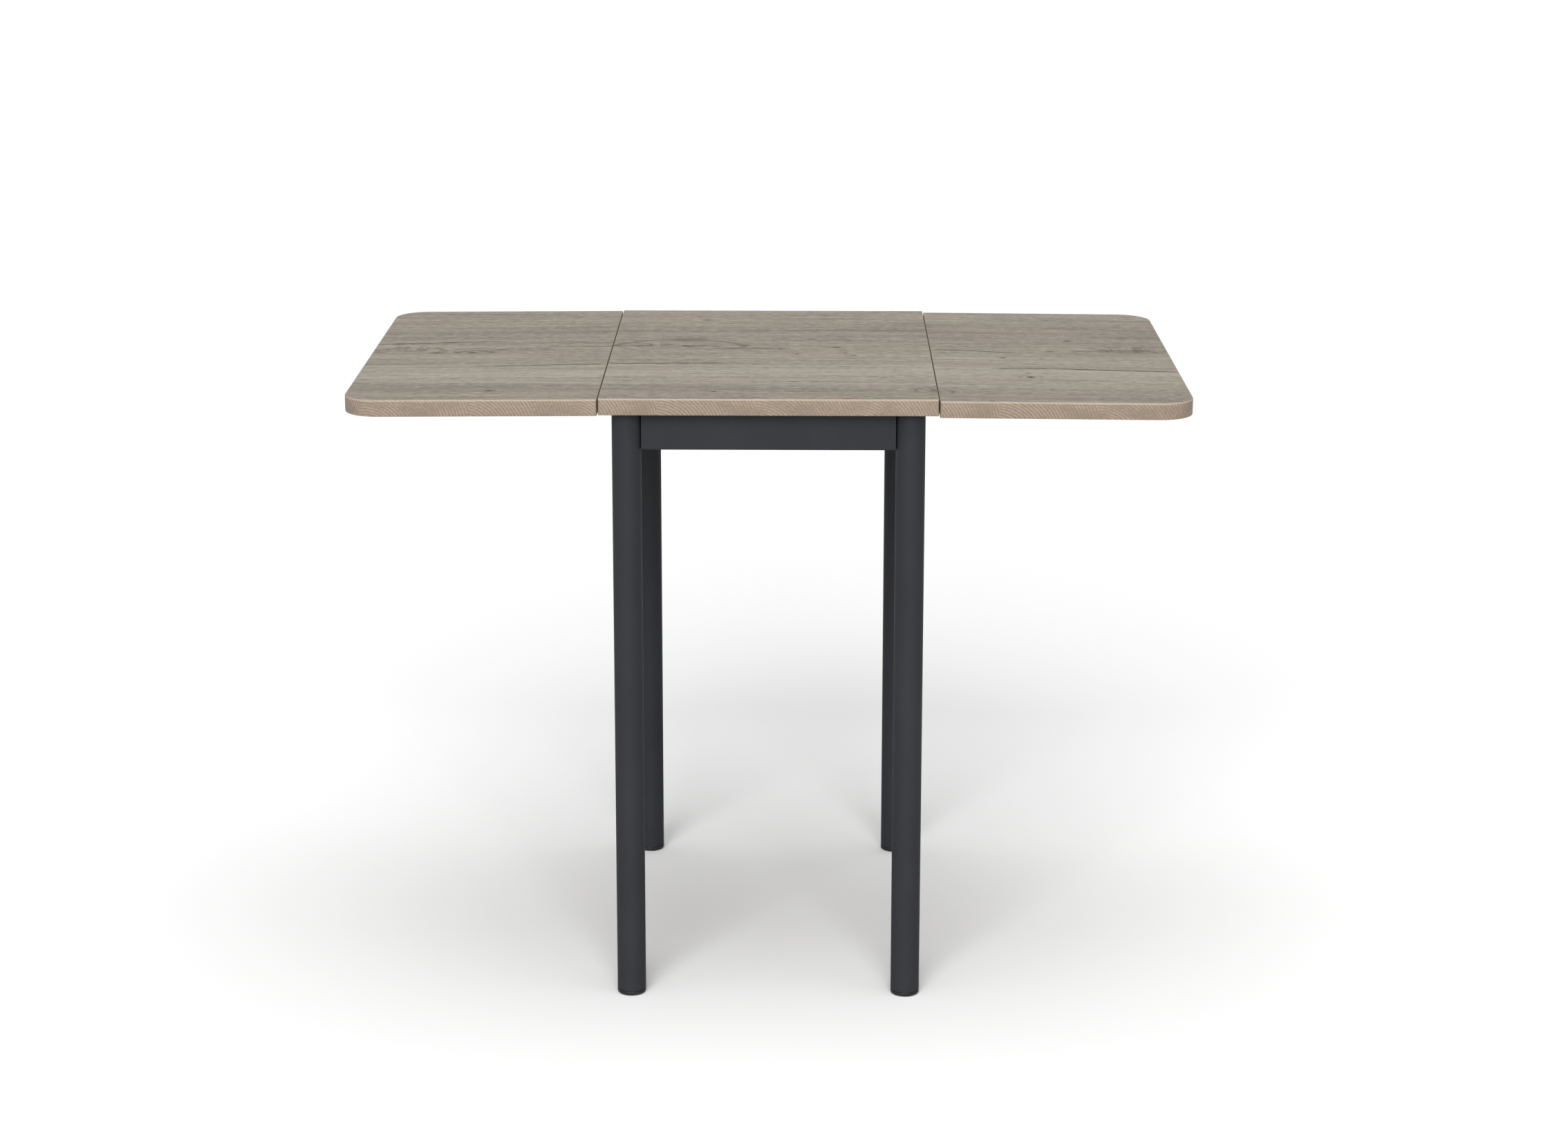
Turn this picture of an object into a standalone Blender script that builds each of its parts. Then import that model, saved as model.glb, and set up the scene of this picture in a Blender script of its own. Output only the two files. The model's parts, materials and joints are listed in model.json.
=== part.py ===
"""Drop-leaf table: a fixed centre board on four round steel legs, with a hinged leaf at each end.

X runs along the table's length, Y from front to back and Z up. The origin is on the floor, midway
between the four legs. Each leaf turns about an axis along Y under its seam. A support arm pivoted
on the side rail turns with it, and carries it when it is level.

Points on a side of the table are written (u, y, w) from that side's leaf axis: u outwards, w up.
"""

from math import acos, asin, cos, degrees, pi, radians, sin, sqrt

import bmesh
import bpy
from mathutils import Vector

CLEARANCE = 0.0003  # between pieces that touch
CUT_BEYOND = 0.010  # how far a cutter runs past what it cuts
OVERLAP = 0.001  # how far a joined shape runs into its neighbour

# Boards
CENTRE_WIDTH = 0.400
LEAF_WIDTH = 0.300
TOP_DEPTH = 0.600
TOP_HEIGHT = 0.750
BOARD_THICKNESS = 0.020
BOARD_ARRIS = 0.0008
SEAM_GAP = 0.0012
SEAM_CORNER_RADIUS = 0.0025
LEAF_CORNER_RADIUS = 0.0425
LEAF_SETTLE = {"left": 0.0008, "right": 0.0020}  # how much lower a leaf lies than the centre
LEAF_SAG = radians(0.4)  # how far a raised leaf stays below level

# Legs and rails
LEG_DIAMETER = 0.035
LEG_WALL = 0.0015
LEG_INSET_X = 0.032  # leg axis to the centre board's seam side
LEG_INSET_Y = 0.029  # leg axis to the board's front or back edge
FOOT_HEIGHT = 0.0055
FOOT_ROUNDING = 0.003
FOOT_PLUG_LENGTH = 0.018
RAIL_HEIGHT = 0.045
RAIL_THICKNESS = 0.020
RAIL_WALL = 0.0015
RAIL_ROUNDING = 0.0025

# Corner brackets between the rails, with a bolt into each leg
BRACKET_SHEET = 0.0025
BRACKET_HEIGHT = 0.034
BRACKET_FLANGE = 0.024
BRACKET_REACH = 0.020  # leg surface to where the bracket's web meets its flanges
BOLT_DIAMETER = 0.008
BOLT_HEAD_WIDTH = 0.013
BOLT_HEAD_HEIGHT = 0.0055

# Leaf hinges
HINGE_SPREAD = 0.400  # between the two hinges of a leaf
HINGE_LENGTH = 0.060
HINGE_SHEET = 0.0015
HINGE_INNER_WIDTH = 0.019
HINGE_OUTER_WIDTH = 0.030
HINGE_JOGGLE = (1.3, 2.6)  # where it starts and ends, in knuckle radii from the axis
HINGE_MITRE = 0.0002  # how much further out the joggle's lower bends lie
KNUCKLE_RADIUS = 0.0029
KNUCKLE_GAP = 0.0004
HINGE_PIN_DIAMETER = 0.003
HINGE_PIN_HEAD = 0.0022
PIN_HEAD_HEIGHT = 0.001

# Support arms
ARM_LENGTH = 0.150  # pivot to tip
ARM_THICKNESS = 0.005
ARM_HUB_RADIUS = 0.008
ARM_TIP_RADIUS = 0.0045
ARM_PIVOT_OUT = 0.0136  # pivot to the side rail's outer face
ARM_PIVOT_DOWN = 0.030  # pivot to leaf axis, downwards
SLEEVE_WALL = 0.0015
NOTCH_DEPTH = 0.0015
NOTCH_WIDTH = 0.003
PIVOT_DIAMETER = 0.006
PIVOT_HEAD_RADIUS = 0.0055
PIVOT_HEAD_HEIGHT = 0.004
PIVOT_NUT_RADIUS = 0.0058
PIVOT_NUT_HEIGHT = 0.005
PIVOT_BOLT_PAST = 0.007  # past the clevis, through the nut
CLEVIS_SHEET = 0.002
CLEVIS_INSIDE = 0.018
CLEVIS_HEIGHT = 0.038
CLEVIS_PLATE_WIDTH = 0.052
CLEVIS_CORNER = 0.004
SPRING_WIRE = 0.0014
SPRING_PLAY = 0.0008  # round the pivot bolt
CATCH_SHEET = 0.0008
CATCH_WIDTH = 0.010
CATCH_INSET = 0.003  # its top, below the plate's top
CATCH_BEND_ABOVE = 0.006  # from its nose up to its upper bend
CATCH_TIP_BELOW = 0.005  # from its nose down to its tip
GLIDE_RADIUS = 0.006
GLIDE_WIDTH = 0.016
GLIDE_PIN_DIAMETER = 0.004
GLIDE_PIN_HEAD = 0.0032
WEAR_SHEET = 0.0015
WEAR_WIDTH = 0.026
WEAR_MARGIN = 0.014  # beyond each end of the glide's travel
WEAR_CORNER = 0.005

LEAF_AXIS_DROP = KNUCKLE_RADIUS + CLEARANCE  # leaf underside to leaf axis
UNDERSIDE = TOP_HEIGHT - BOARD_THICKNESS
LEG_RADIUS = LEG_DIAMETER / 2
LEG_X = CENTRE_WIDTH / 2 - LEG_INSET_X
LEG_Y = TOP_DEPTH / 2 - LEG_INSET_Y
LEAF_AXIS_X = (CENTRE_WIDTH + SEAM_GAP) / 2
RAIL_FACE_IN = LEAF_AXIS_X - LEG_X - RAIL_THICKNESS / 2  # leaf axis to the side rail's outer face
ARM_PIVOT_IN = RAIL_FACE_IN - ARM_PIVOT_OUT  # pivot to leaf axis, inwards

SIDES = {"left": -1, "right": 1}
ENDS = {"front": -1, "back": 1}
CORNERS = [(side, end) for side in SIDES for end in ENDS]


# Materials


def finish(name, colour, roughness, metallic=0.0):
    material = bpy.data.materials.new(name)
    material.use_nodes = True
    shader = material.node_tree.nodes["Principled BSDF"]
    shader.inputs["Base Color"].default_value = (*colour, 1.0)
    shader.inputs["Roughness"].default_value = roughness
    shader.inputs["Metallic"].default_value = metallic
    material.diffuse_color = (*colour, 1.0)
    return material


def all_finishes():
    return {
        "oak": finish("weathered_oak_board", (0.31, 0.28, 0.24), 0.55),
        "steel": finish("dark_powder_coat", (0.045, 0.047, 0.053), 0.45),
        "plastic": finish("dark_plastic", (0.035, 0.036, 0.040), 0.50),
        "zinc": finish("zinc_plate", (0.55, 0.56, 0.57), 0.35, 1.0),
        "spring": finish("spring_steel", (0.30, 0.30, 0.31), 0.30, 1.0),
        "nylon": finish("white_nylon", (0.75, 0.74, 0.70), 0.45),
    }


# Mesh tools


def circle(radius, count, centre=(0.0, 0.0), start=0.0, end=2 * pi):
    """Points on an arc; a full circle leaves out the repeated last point."""
    steps = count if end - start >= 2 * pi else count - 1
    angles = [start + (end - start) * i / steps for i in range(count)]
    return [(centre[0] + radius * cos(a), centre[1] + radius * sin(a)) for a in angles]


def rounded_rectangle(low, high, radii, steps):
    """Outline with its own radius at each corner, from the low corner round to the last."""
    centres = [
        (low[0] + radii[0], low[1] + radii[0], pi),
        (high[0] - radii[1], low[1] + radii[1], 1.5 * pi),
        (high[0] - radii[2], high[1] - radii[2], 0.0),
        (low[0] + radii[3], high[1] - radii[3], 0.5 * pi),
    ]
    points = []
    for (x, y, start), radius in zip(centres, radii):
        points += circle(radius, steps, (x, y), start, start + pi / 2)
    return points


def strip_outline(line, thickness):
    """Outline of a bent strip of sheet that follows an open line of points, with mitred bends."""
    points = [Vector(point) for point in line]
    runs = [(b - a).normalized() for a, b in zip(points, points[1:])]
    left, right = [], []
    for i, point in enumerate(points):
        before, after = runs[max(i - 1, 0)], runs[min(i, len(runs) - 1)]
        across = Vector((-before.y - after.y, before.x + after.x)).normalized()
        reach = thickness / 2 / across.dot(Vector((-after.y, after.x)))
        left.append(tuple(point + across * reach))
        right.append(tuple(point - across * reach))
    return left + right[::-1]


def on_axis(axis, outline, along):
    """3-D points of a flat outline that stands across an axis at the given place."""
    if axis == "x":
        return [(along, a, b) for a, b in outline]
    if axis == "y":
        return [(a, along, b) for a, b in outline]
    return [(a, b, along) for a, b in outline]


def loft(loops, closed=False):
    """A body through loops of equal length: capped at both ends, or joined into a ring."""
    bm = bmesh.new()
    rings = [[bm.verts.new(point) for point in loop] for loop in loops]
    pairs = list(zip(rings, rings[1:]))
    if closed:
        pairs.append((rings[-1], rings[0]))
    for first, second in pairs:
        for i in range(len(first)):
            j = (i + 1) % len(first)
            bm.faces.new((first[i], first[j], second[j], second[i]))
    if not closed:
        bm.faces.new(rings[0][::-1])
        bm.faces.new(rings[-1])
    return bm


def prism(axis, outline, start, end):
    return loft([on_axis(axis, outline, start), on_axis(axis, outline, end)])


def pipe(axis, outer, inner, start, end):
    """A straight open-ended tube whose two outlines have as many points each."""
    ends = [(outer, start), (outer, end), (inner, end), (inner, start)]
    return loft([on_axis(axis, outline, along) for outline, along in ends], closed=True)


def turned(axis, profile, count, centre=(0.0, 0.0)):
    """A turned body from (radius, place along the axis) pairs."""
    return loft([on_axis(axis, circle(r, count, centre), t) for r, t in profile])


def box(low, high):
    corners = [(low[0], low[1]), (high[0], low[1]), (high[0], high[1]), (low[0], high[1])]
    return prism("z", corners, low[2], high[2])


def solid(name, bm, material, parent=None):
    """A named, smooth-shaded object from a bmesh, with its faces pointing out."""
    bmesh.ops.recalc_face_normals(bm, faces=bm.faces)
    mesh = bpy.data.meshes.new(name)
    bm.to_mesh(mesh)
    bm.free()
    mesh.shade_smooth()
    mesh.set_sharp_from_angle(angle=radians(35))
    if material:
        mesh.materials.append(material)
    obj = bpy.data.objects.new(name, mesh)
    bpy.context.scene.collection.objects.link(obj)
    obj.parent = parent
    return obj


def combine(obj, operation, bm):
    """Joins a shape to an object, or cuts it away, through a hidden helper beside it."""
    helper = solid(f"{obj.name}.{operation.lower()}.{len(obj.modifiers)}", bm, None, obj.parent)
    helper.hide_render = True
    helper.display_type = "WIRE"
    helper.matrix_local = obj.matrix_local
    modifier = obj.modifiers.new(helper.name, "BOOLEAN")
    modifier.operation = operation
    modifier.object = helper


def empty(name, location, parent=None, turn=(0.0, 0.0, 0.0)):
    obj = bpy.data.objects.new(name, None)
    bpy.context.scene.collection.objects.link(obj)
    obj.empty_display_size = 0.03
    obj.location = location
    obj.rotation_euler = turn
    obj.parent = parent
    return obj


# Boards


def board(name, low, high, radii, top, material, parent=None):
    """A board with rounded corners in plan and a small arris round both faces."""
    bottom = top - BOARD_THICKNESS
    rows = []
    for angle in (0.0, pi / 4, pi / 2):
        rows.append((BOARD_ARRIS * (1 - sin(angle)), bottom + BOARD_ARRIS * (1 - cos(angle))))
    rows += [(inset, top + bottom - z) for inset, z in rows[::-1]]
    loops = []
    for inset, z in rows:
        inner_low = (low[0] + inset, low[1] + inset)
        inner_high = (high[0] - inset, high[1] - inset)
        outline = rounded_rectangle(inner_low, inner_high, [r - inset for r in radii], 9)
        loops.append(on_axis("z", outline, z))
    return solid(name, loft(loops), material, parent)


def centre_board(finishes):
    high = (CENTRE_WIDTH / 2, TOP_DEPTH / 2)
    low = (-high[0], -high[1])
    board("centre_top", low, high, [SEAM_CORNER_RADIUS] * 4, TOP_HEIGHT, finishes["oak"])


def leaf_board(side, leaf_axis, finishes):
    low = (SEAM_GAP / 2, -TOP_DEPTH / 2)
    high = (SEAM_GAP / 2 + LEAF_WIDTH, TOP_DEPTH / 2)
    radii = [SEAM_CORNER_RADIUS, LEAF_CORNER_RADIUS, LEAF_CORNER_RADIUS, SEAM_CORNER_RADIUS]
    top = LEAF_AXIS_DROP + BOARD_THICKNESS
    board(f"{side}_leaf", low, high, radii, top, finishes["oak"], leaf_axis)


# Frame


def leg(side, end, finishes):
    """Open-ended tube with a hole for the corner bolt, and a plastic foot plugged into it."""
    centre = (SIDES[side] * LEG_X, ENDS[end] * LEG_Y)
    top = UNDERSIDE - CLEARANCE
    outer = circle(LEG_RADIUS, 40, centre)
    inner = circle(LEG_RADIUS - LEG_WALL, 40, centre)
    tube = pipe("z", outer, inner, FOOT_HEIGHT + CLEARANCE, top)
    obj = solid(f"{end}_{side}_leg", tube, finishes["steel"])
    hole = BOLT_DIAMETER / 2 + CLEARANCE
    shaft = corner_shaft(side, end, hole, LEG_RADIUS / 2, LEG_RADIUS + CUT_BEYOND)
    combine(obj, "DIFFERENCE", shaft)
    arc = [pi / 2 * i / 4 for i in range(5)]
    profile = [
        (LEG_RADIUS - FOOT_ROUNDING * (1 - sin(a)), FOOT_ROUNDING * (1 - cos(a))) for a in arc
    ]
    plug_radius = LEG_RADIUS - LEG_WALL - CLEARANCE
    profile += [
        (LEG_RADIUS, FOOT_HEIGHT),
        (plug_radius, FOOT_HEIGHT),
        (plug_radius, FOOT_HEIGHT + FOOT_PLUG_LENGTH),
    ]
    foot = turned("z", profile, 32, centre)
    solid(f"{end}_{side}_foot", foot, finishes["plastic"])


def rails(finishes):
    """Rectangular tubes between the legs, flat-ended just short of them."""
    top = UNDERSIDE - CLEARANCE
    half = RAIL_THICKNESS / 2
    for name, axis, place, reach in (
        ("front_rail", "x", -LEG_Y, LEG_X),
        ("back_rail", "x", LEG_Y, LEG_X),
        ("left_rail", "y", -LEG_X, LEG_Y),
        ("right_rail", "y", LEG_X, LEG_Y),
    ):
        outlines = []
        for wall, rounding in ((0.0, RAIL_ROUNDING), (RAIL_WALL, RAIL_ROUNDING - RAIL_WALL)):
            low = (place - half + wall, top - RAIL_HEIGHT + wall)
            high = (place + half - wall, top - wall)
            outlines.append(rounded_rectangle(low, high, [rounding] * 4, 4))
        length = reach - LEG_RADIUS - CLEARANCE
        solid(name, pipe(axis, *outlines, -length, length), finishes["steel"])


def corner_point(side, end, a, b):
    """A plan point measured from a leg's axis: a towards the middle along X, b along Y."""
    return (SIDES[side] * (LEG_X - a), ENDS[end] * (LEG_Y - b))


def corner_shaft(side, end, radius, near, far, count=20):
    """A round bar on the diagonal through a leg's axis, between two distances from it."""
    height = UNDERSIDE - CLEARANCE - BRACKET_HEIGHT / 2
    loops = []
    for reach in (near, far):
        loop = []
        for across, up in circle(radius, count):
            a = (reach - across) / sqrt(2)
            b = (reach + across) / sqrt(2)
            loop.append((*corner_point(side, end, a, b), height + up))
        loops.append(loop)
    return loft(loops)


def corner_bracket(side, end, finishes):
    """Bent strip between two rails with a plate on top of it, and the bolt that draws the leg in."""
    flange = RAIL_THICKNESS / 2 + CLEARANCE + BRACKET_SHEET / 2
    bend = LEG_RADIUS + BRACKET_REACH
    line = [(flange, bend + BRACKET_FLANGE), (flange, bend)]
    line += [(b, a) for a, b in line[::-1]]
    top = UNDERSIDE - CLEARANCE
    outline = [corner_point(side, end, a, b) for a, b in strip_outline(line, BRACKET_SHEET)]
    name = f"{end}_{side}_corner_bracket"
    obj = solid(name, prism("z", outline, top - BRACKET_HEIGHT, top), finishes["zinc"])
    plate = [corner_point(side, end, a, b) for a, b in line]
    combine(obj, "UNION", prism("z", plate, top - BRACKET_SHEET, top))
    web = (flange + bend) / sqrt(2)
    hole = BOLT_DIAMETER / 2 + CLEARANCE
    shaft = corner_shaft(side, end, hole, web - CUT_BEYOND, web + CUT_BEYOND)
    combine(obj, "DIFFERENCE", shaft)
    seat = web + BRACKET_SHEET / 2 + CLEARANCE
    bolt = corner_shaft(side, end, BOLT_HEAD_WIDTH / 2, seat, seat + BOLT_HEAD_HEIGHT, 6)
    obj = solid(f"{end}_{side}_corner_bolt", bolt, finishes["zinc"])
    shank = corner_shaft(side, end, BOLT_DIAMETER / 2, LEG_RADIUS / 2, seat + OVERLAP, 16)
    combine(obj, "UNION", shank)


# Hinges


def hinge_profile(width, rise, way):
    """Section of a hinge plate rolled round the leaf axis. It lies on the given side of the axis
    (way is 1 outwards or -1 inwards), joggled up by rise to reach a higher board."""
    lower = KNUCKLE_RADIUS - HINGE_SHEET
    wrap = circle(KNUCKLE_RADIUS, 15, start=pi / 2, end=2 * pi + asin(lower / KNUCKLE_RADIUS))
    near, far = (share * KNUCKLE_RADIUS for share in HINGE_JOGGLE)
    top = [(width, KNUCKLE_RADIUS + rise), (far, KNUCKLE_RADIUS + rise), (near, KNUCKLE_RADIUS)]
    bottom = [(near + HINGE_MITRE, lower), (far + HINGE_MITRE, lower + rise), (width, lower + rise)]
    return [(way * v, w) for v, w in top + wrap + bottom]


def knuckle_slot(low, high):
    reach = KNUCKLE_RADIUS + KNUCKLE_GAP
    return box((-reach, low, -reach), (reach, high, reach))


def hinge(side, end, fixings, leaf_axis, finishes):
    """Butt hinge: the inner plate has the middle knuckle and the outer plate the other two."""
    centre = SIDES[side] * ENDS[end] * HINGE_SPREAD / 2
    low, high = centre - HINGE_LENGTH / 2, centre + HINGE_LENGTH / 2
    third = HINGE_LENGTH / 6
    name = f"{end}_{side}_hinge"
    bore = circle(HINGE_PIN_DIAMETER / 2 + CLEARANCE, 14)

    section = hinge_profile(HINGE_INNER_WIDTH, LEAF_SETTLE[side], -1)
    inner = solid(f"{name}_inner_plate", prism("y", section, low, high), finishes["zinc"], fixings)
    combine(inner, "DIFFERENCE", knuckle_slot(low - CUT_BEYOND, centre - third + KNUCKLE_GAP / 2))
    combine(inner, "DIFFERENCE", knuckle_slot(centre + third - KNUCKLE_GAP / 2, high + CUT_BEYOND))
    combine(inner, "DIFFERENCE", prism("y", bore, low - CUT_BEYOND, high + CUT_BEYOND))

    section = hinge_profile(HINGE_OUTER_WIDTH, 0.0, 1)
    outer = solid(f"{name}_outer_plate", prism("y", section, low, high), finishes["zinc"], leaf_axis)
    slot = knuckle_slot(centre - third - KNUCKLE_GAP / 2, centre + third + KNUCKLE_GAP / 2)
    combine(outer, "DIFFERENCE", slot)
    combine(outer, "DIFFERENCE", prism("y", bore, low - CUT_BEYOND, high + CUT_BEYOND))

    radius = HINGE_PIN_DIAMETER / 2
    ends = (low - CLEARANCE, high + CLEARANCE)
    profile = [
        (HINGE_PIN_HEAD, ends[0] - PIN_HEAD_HEIGHT),
        (HINGE_PIN_HEAD, ends[0]),
        (radius, ends[0]),
        (radius, ends[1]),
        (HINGE_PIN_HEAD, ends[1]),
        (HINGE_PIN_HEAD, ends[1] + PIN_HEAD_HEIGHT),
    ]
    solid(f"{name}_pin", turned("y", profile, 14), finishes["spring"], fixings)


# Support arms


def arm_angle(fold):
    """Elevation of the arm when the leaf is folded that far below level.

    It keeps the glide's axis at one distance under the leaf's plane.
    """
    below = GLIDE_RADIUS + CLEARANCE + WEAR_SHEET + CLEARANCE - LEAF_AXIS_DROP
    rise = ARM_PIVOT_IN * sin(fold) + ARM_PIVOT_DOWN * cos(fold) - below
    return asin(rise / ARM_LENGTH) - fold


def glide_place(fold):
    """Distance along the leaf from its axis to the glide."""
    pivot = ARM_PIVOT_DOWN * sin(fold) - ARM_PIVOT_IN * cos(fold)
    return pivot + ARM_LENGTH * cos(arm_angle(fold) + fold)


def arm_outline():
    """Two circles joined by their outer tangents, with the pivot at the origin and the tip on +X."""
    lean = acos((ARM_HUB_RADIUS - ARM_TIP_RADIUS) / ARM_LENGTH)
    hub = circle(ARM_HUB_RADIUS, 24, start=lean, end=2 * pi - lean)
    tip = circle(ARM_TIP_RADIUS, 14, (ARM_LENGTH, 0.0), -lean, lean)
    return hub + tip


def support_arm(side, arm_axis, finishes):
    """Flat bar with a sleeve on its pivot, a catch notch in its hub and a nylon glide on its tip."""
    half = ARM_THICKNESS / 2
    sleeve_end = CLEVIS_INSIDE / 2 - CLEARANCE
    obj = solid(f"{side}_arm", prism("y", arm_outline(), -half, half), finishes["steel"], arm_axis)
    sleeve = circle(PIVOT_DIAMETER / 2 + SLEEVE_WALL, 20)
    combine(obj, "UNION", prism("y", sleeve, -sleeve_end, 0.0))
    reach = CLEVIS_INSIDE / 2 + CUT_BEYOND
    pivot_bore = circle(PIVOT_DIAMETER / 2 + CLEARANCE, 20)
    combine(obj, "DIFFERENCE", prism("y", pivot_bore, -reach, reach))
    tip_bore = circle(GLIDE_PIN_DIAMETER / 2 + CLEARANCE, 14, (ARM_LENGTH, 0.0))
    combine(obj, "DIFFERENCE", prism("y", tip_bore, -reach, reach))
    notch_low = (-ARM_HUB_RADIUS - OVERLAP, -reach, -NOTCH_WIDTH / 2)
    notch_high = (-ARM_HUB_RADIUS + NOTCH_DEPTH, reach, NOTCH_WIDTH / 2)
    combine(obj, "DIFFERENCE", box(notch_low, notch_high))

    half = GLIDE_WIDTH / 2
    round_face = circle(GLIDE_RADIUS, 32, (ARM_LENGTH, 0.0))
    glide = prism("y", round_face, -half, half)
    glide = solid(f"{side}_arm_glide", glide, finishes["nylon"], arm_axis)
    slot_low = (ARM_LENGTH - CUT_BEYOND, -ARM_THICKNESS / 2 - CLEARANCE, -CUT_BEYOND)
    slot_high = (ARM_LENGTH + CUT_BEYOND, -slot_low[1], ARM_TIP_RADIUS + CLEARANCE)
    combine(glide, "DIFFERENCE", box(slot_low, slot_high))
    combine(glide, "DIFFERENCE", prism("y", tip_bore, -reach, reach))
    radius = GLIDE_PIN_DIAMETER / 2
    seat = half + CLEARANCE
    profile = [
        (GLIDE_PIN_HEAD, -seat - PIN_HEAD_HEIGHT),
        (GLIDE_PIN_HEAD, -seat),
        (radius, -seat),
        (radius, seat),
        (GLIDE_PIN_HEAD, seat),
        (GLIDE_PIN_HEAD, seat + PIN_HEAD_HEIGHT),
    ]
    pin = turned("y", profile, 14, (ARM_LENGTH, 0.0))
    solid(f"{side}_arm_glide_pin", pin, finishes["zinc"], arm_axis)


def clevis(side, fixings, finishes):
    """Bracket on the side rail: a back plate with two cheeks that hold the arm's pivot."""
    face = -RAIL_FACE_IN + CLEARANCE
    plate = face + CLEVIS_SHEET
    middle = LEAF_AXIS_DROP + LEAF_SETTLE[side] - CLEARANCE - RAIL_HEIGHT / 2
    low, high = middle - CLEVIS_HEIGHT / 2, middle + CLEVIS_HEIGHT / 2
    width = CLEVIS_PLATE_WIDTH / 2
    back = rounded_rectangle((-width, low), (width, high), [CLEVIS_CORNER] * 4, 5)
    name = f"{side}_arm_bracket"
    obj = solid(name, prism("x", back, face, plate), finishes["steel"], fixings)
    nose = (-ARM_PIVOT_IN, -ARM_PIVOT_DOWN)
    bore = circle(PIVOT_DIAMETER / 2 + CLEARANCE, 20, nose)
    for way in (-1, 1):
        near = way * CLEVIS_INSIDE / 2
        cheek = [(face + CLEVIS_SHEET / 2, high), (face + CLEVIS_SHEET / 2, low)]
        cheek += circle(ARM_HUB_RADIUS, 9, nose, -pi / 2, pi / 6)
        combine(obj, "UNION", prism("y", cheek, near, near + way * CLEVIS_SHEET))
    reach = CLEVIS_INSIDE / 2 + CLEVIS_SHEET + CUT_BEYOND
    combine(obj, "DIFFERENCE", prism("y", bore, -reach, reach))
    return plate, high


def pivot_parts(side, fixings, finishes):
    """The pivot's bolt and nut, and the outer shape of the coil spring that lifts the arm."""
    nose = (-ARM_PIVOT_IN, -ARM_PIVOT_DOWN)
    outside = CLEVIS_INSIDE / 2 + CLEVIS_SHEET + CLEARANCE
    radius = PIVOT_DIAMETER / 2
    hexagon = circle(PIVOT_HEAD_RADIUS, 6, nose)
    head = prism("y", hexagon, -outside - PIVOT_HEAD_HEIGHT, -outside)
    obj = solid(f"{side}_arm_pivot_bolt", head, finishes["zinc"], fixings)
    shank = prism("y", circle(radius, 16, nose), -outside - OVERLAP, outside + PIVOT_BOLT_PAST)
    combine(obj, "UNION", shank)
    far = outside + PIVOT_NUT_HEIGHT
    nut = prism("y", circle(PIVOT_NUT_RADIUS, 6, nose), outside, far)
    nut = solid(f"{side}_arm_pivot_nut", nut, finishes["zinc"], fixings)
    bore = circle(radius + CLEARANCE, 16, nose)
    combine(nut, "DIFFERENCE", prism("y", bore, 0.0, far + CUT_BEYOND))

    start = ARM_THICKNESS / 2 + CLEARANCE
    inside = radius + SPRING_PLAY
    outer = circle(inside + SPRING_WIRE, 24, nose)
    spring = pipe("y", outer, circle(inside, 24, nose), start, CLEVIS_INSIDE / 2 - CLEARANCE)
    solid(f"{side}_arm_spring", spring, finishes["spring"], fixings)


def catch(side, plate, high, fixings, finishes):
    """Flat spring on the bracket's back plate, whose bent nose faces the notch in the hub."""
    rest = plate + CLEARANCE + CATCH_SHEET / 2
    nose = -ARM_PIVOT_IN - ARM_HUB_RADIUS - CATCH_SHEET / 2 - 2 * CLEARANCE
    level = -ARM_PIVOT_DOWN
    line = [(rest, high - CATCH_INSET), (rest, level + CATCH_BEND_ABOVE)]
    line += [(nose, level), (rest, level - CATCH_TIP_BELOW)]
    strip = prism("y", strip_outline(line, CATCH_SHEET), -CATCH_WIDTH / 2, CATCH_WIDTH / 2)
    solid(f"{side}_arm_catch", strip, finishes["spring"], fixings)


def wear_strip(side, leaf_axis, finishes):
    """Steel strip under the leaf, as long as the glide's travel with a margin at each end."""
    half = WEAR_WIDTH / 2
    low = (glide_place(LEAF_SAG) - WEAR_MARGIN, -half)
    high = (glide_place(pi / 2) + WEAR_MARGIN, half)
    top = LEAF_AXIS_DROP - CLEARANCE
    strip = prism("z", rounded_rectangle(low, high, [WEAR_CORNER] * 4, 5), top - WEAR_SHEET, top)
    solid(f"{side}_wear_strip", strip, finishes["zinc"], leaf_axis)


# The table


def table_side(side, finishes):
    """A leaf with its hinges and its support arm, on empties at the leaf's and the arm's axes."""
    turn = 0.0 if SIDES[side] > 0 else pi
    height = UNDERSIDE - LEAF_SETTLE[side] - LEAF_AXIS_DROP
    place = (SIDES[side] * LEAF_AXIS_X, 0.0, height)
    fixings = empty(f"{side}_fixings", place, turn=(0.0, 0.0, turn))
    leaf_axis = empty(f"{side}_leaf_axis", place, turn=(0.0, LEAF_SAG, turn))
    pivot = (-ARM_PIVOT_IN, 0.0, -ARM_PIVOT_DOWN)
    arm_axis = empty(f"{side}_arm_axis", pivot, fixings, (0.0, -arm_angle(LEAF_SAG), 0.0))
    leaf_board(side, leaf_axis, finishes)
    for end in ENDS:
        hinge(side, end, fixings, leaf_axis, finishes)
    support_arm(side, arm_axis, finishes)
    plate, high = clevis(side, fixings, finishes)
    pivot_parts(side, fixings, finishes)
    catch(side, plate, high, fixings, finishes)
    wear_strip(side, leaf_axis, finishes)


def main():
    for obj in list(bpy.data.objects):
        bpy.data.objects.remove(obj)
    finishes = all_finishes()
    centre_board(finishes)
    for side, end in CORNERS:
        leg(side, end, finishes)
        corner_bracket(side, end, finishes)
    rails(finishes)
    for side in SIDES:
        table_side(side, finishes)
    leaf_turn = pi / 2 - LEAF_SAG
    arm_turn = arm_angle(LEAF_SAG) - arm_angle(pi / 2)
    print(f"A leaf turns {degrees(leaf_turn):.3f} degrees and its arm {degrees(arm_turn):.3f},")
    print(f"which is {arm_turn / leaf_turn:.6f} times as far.")


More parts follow.
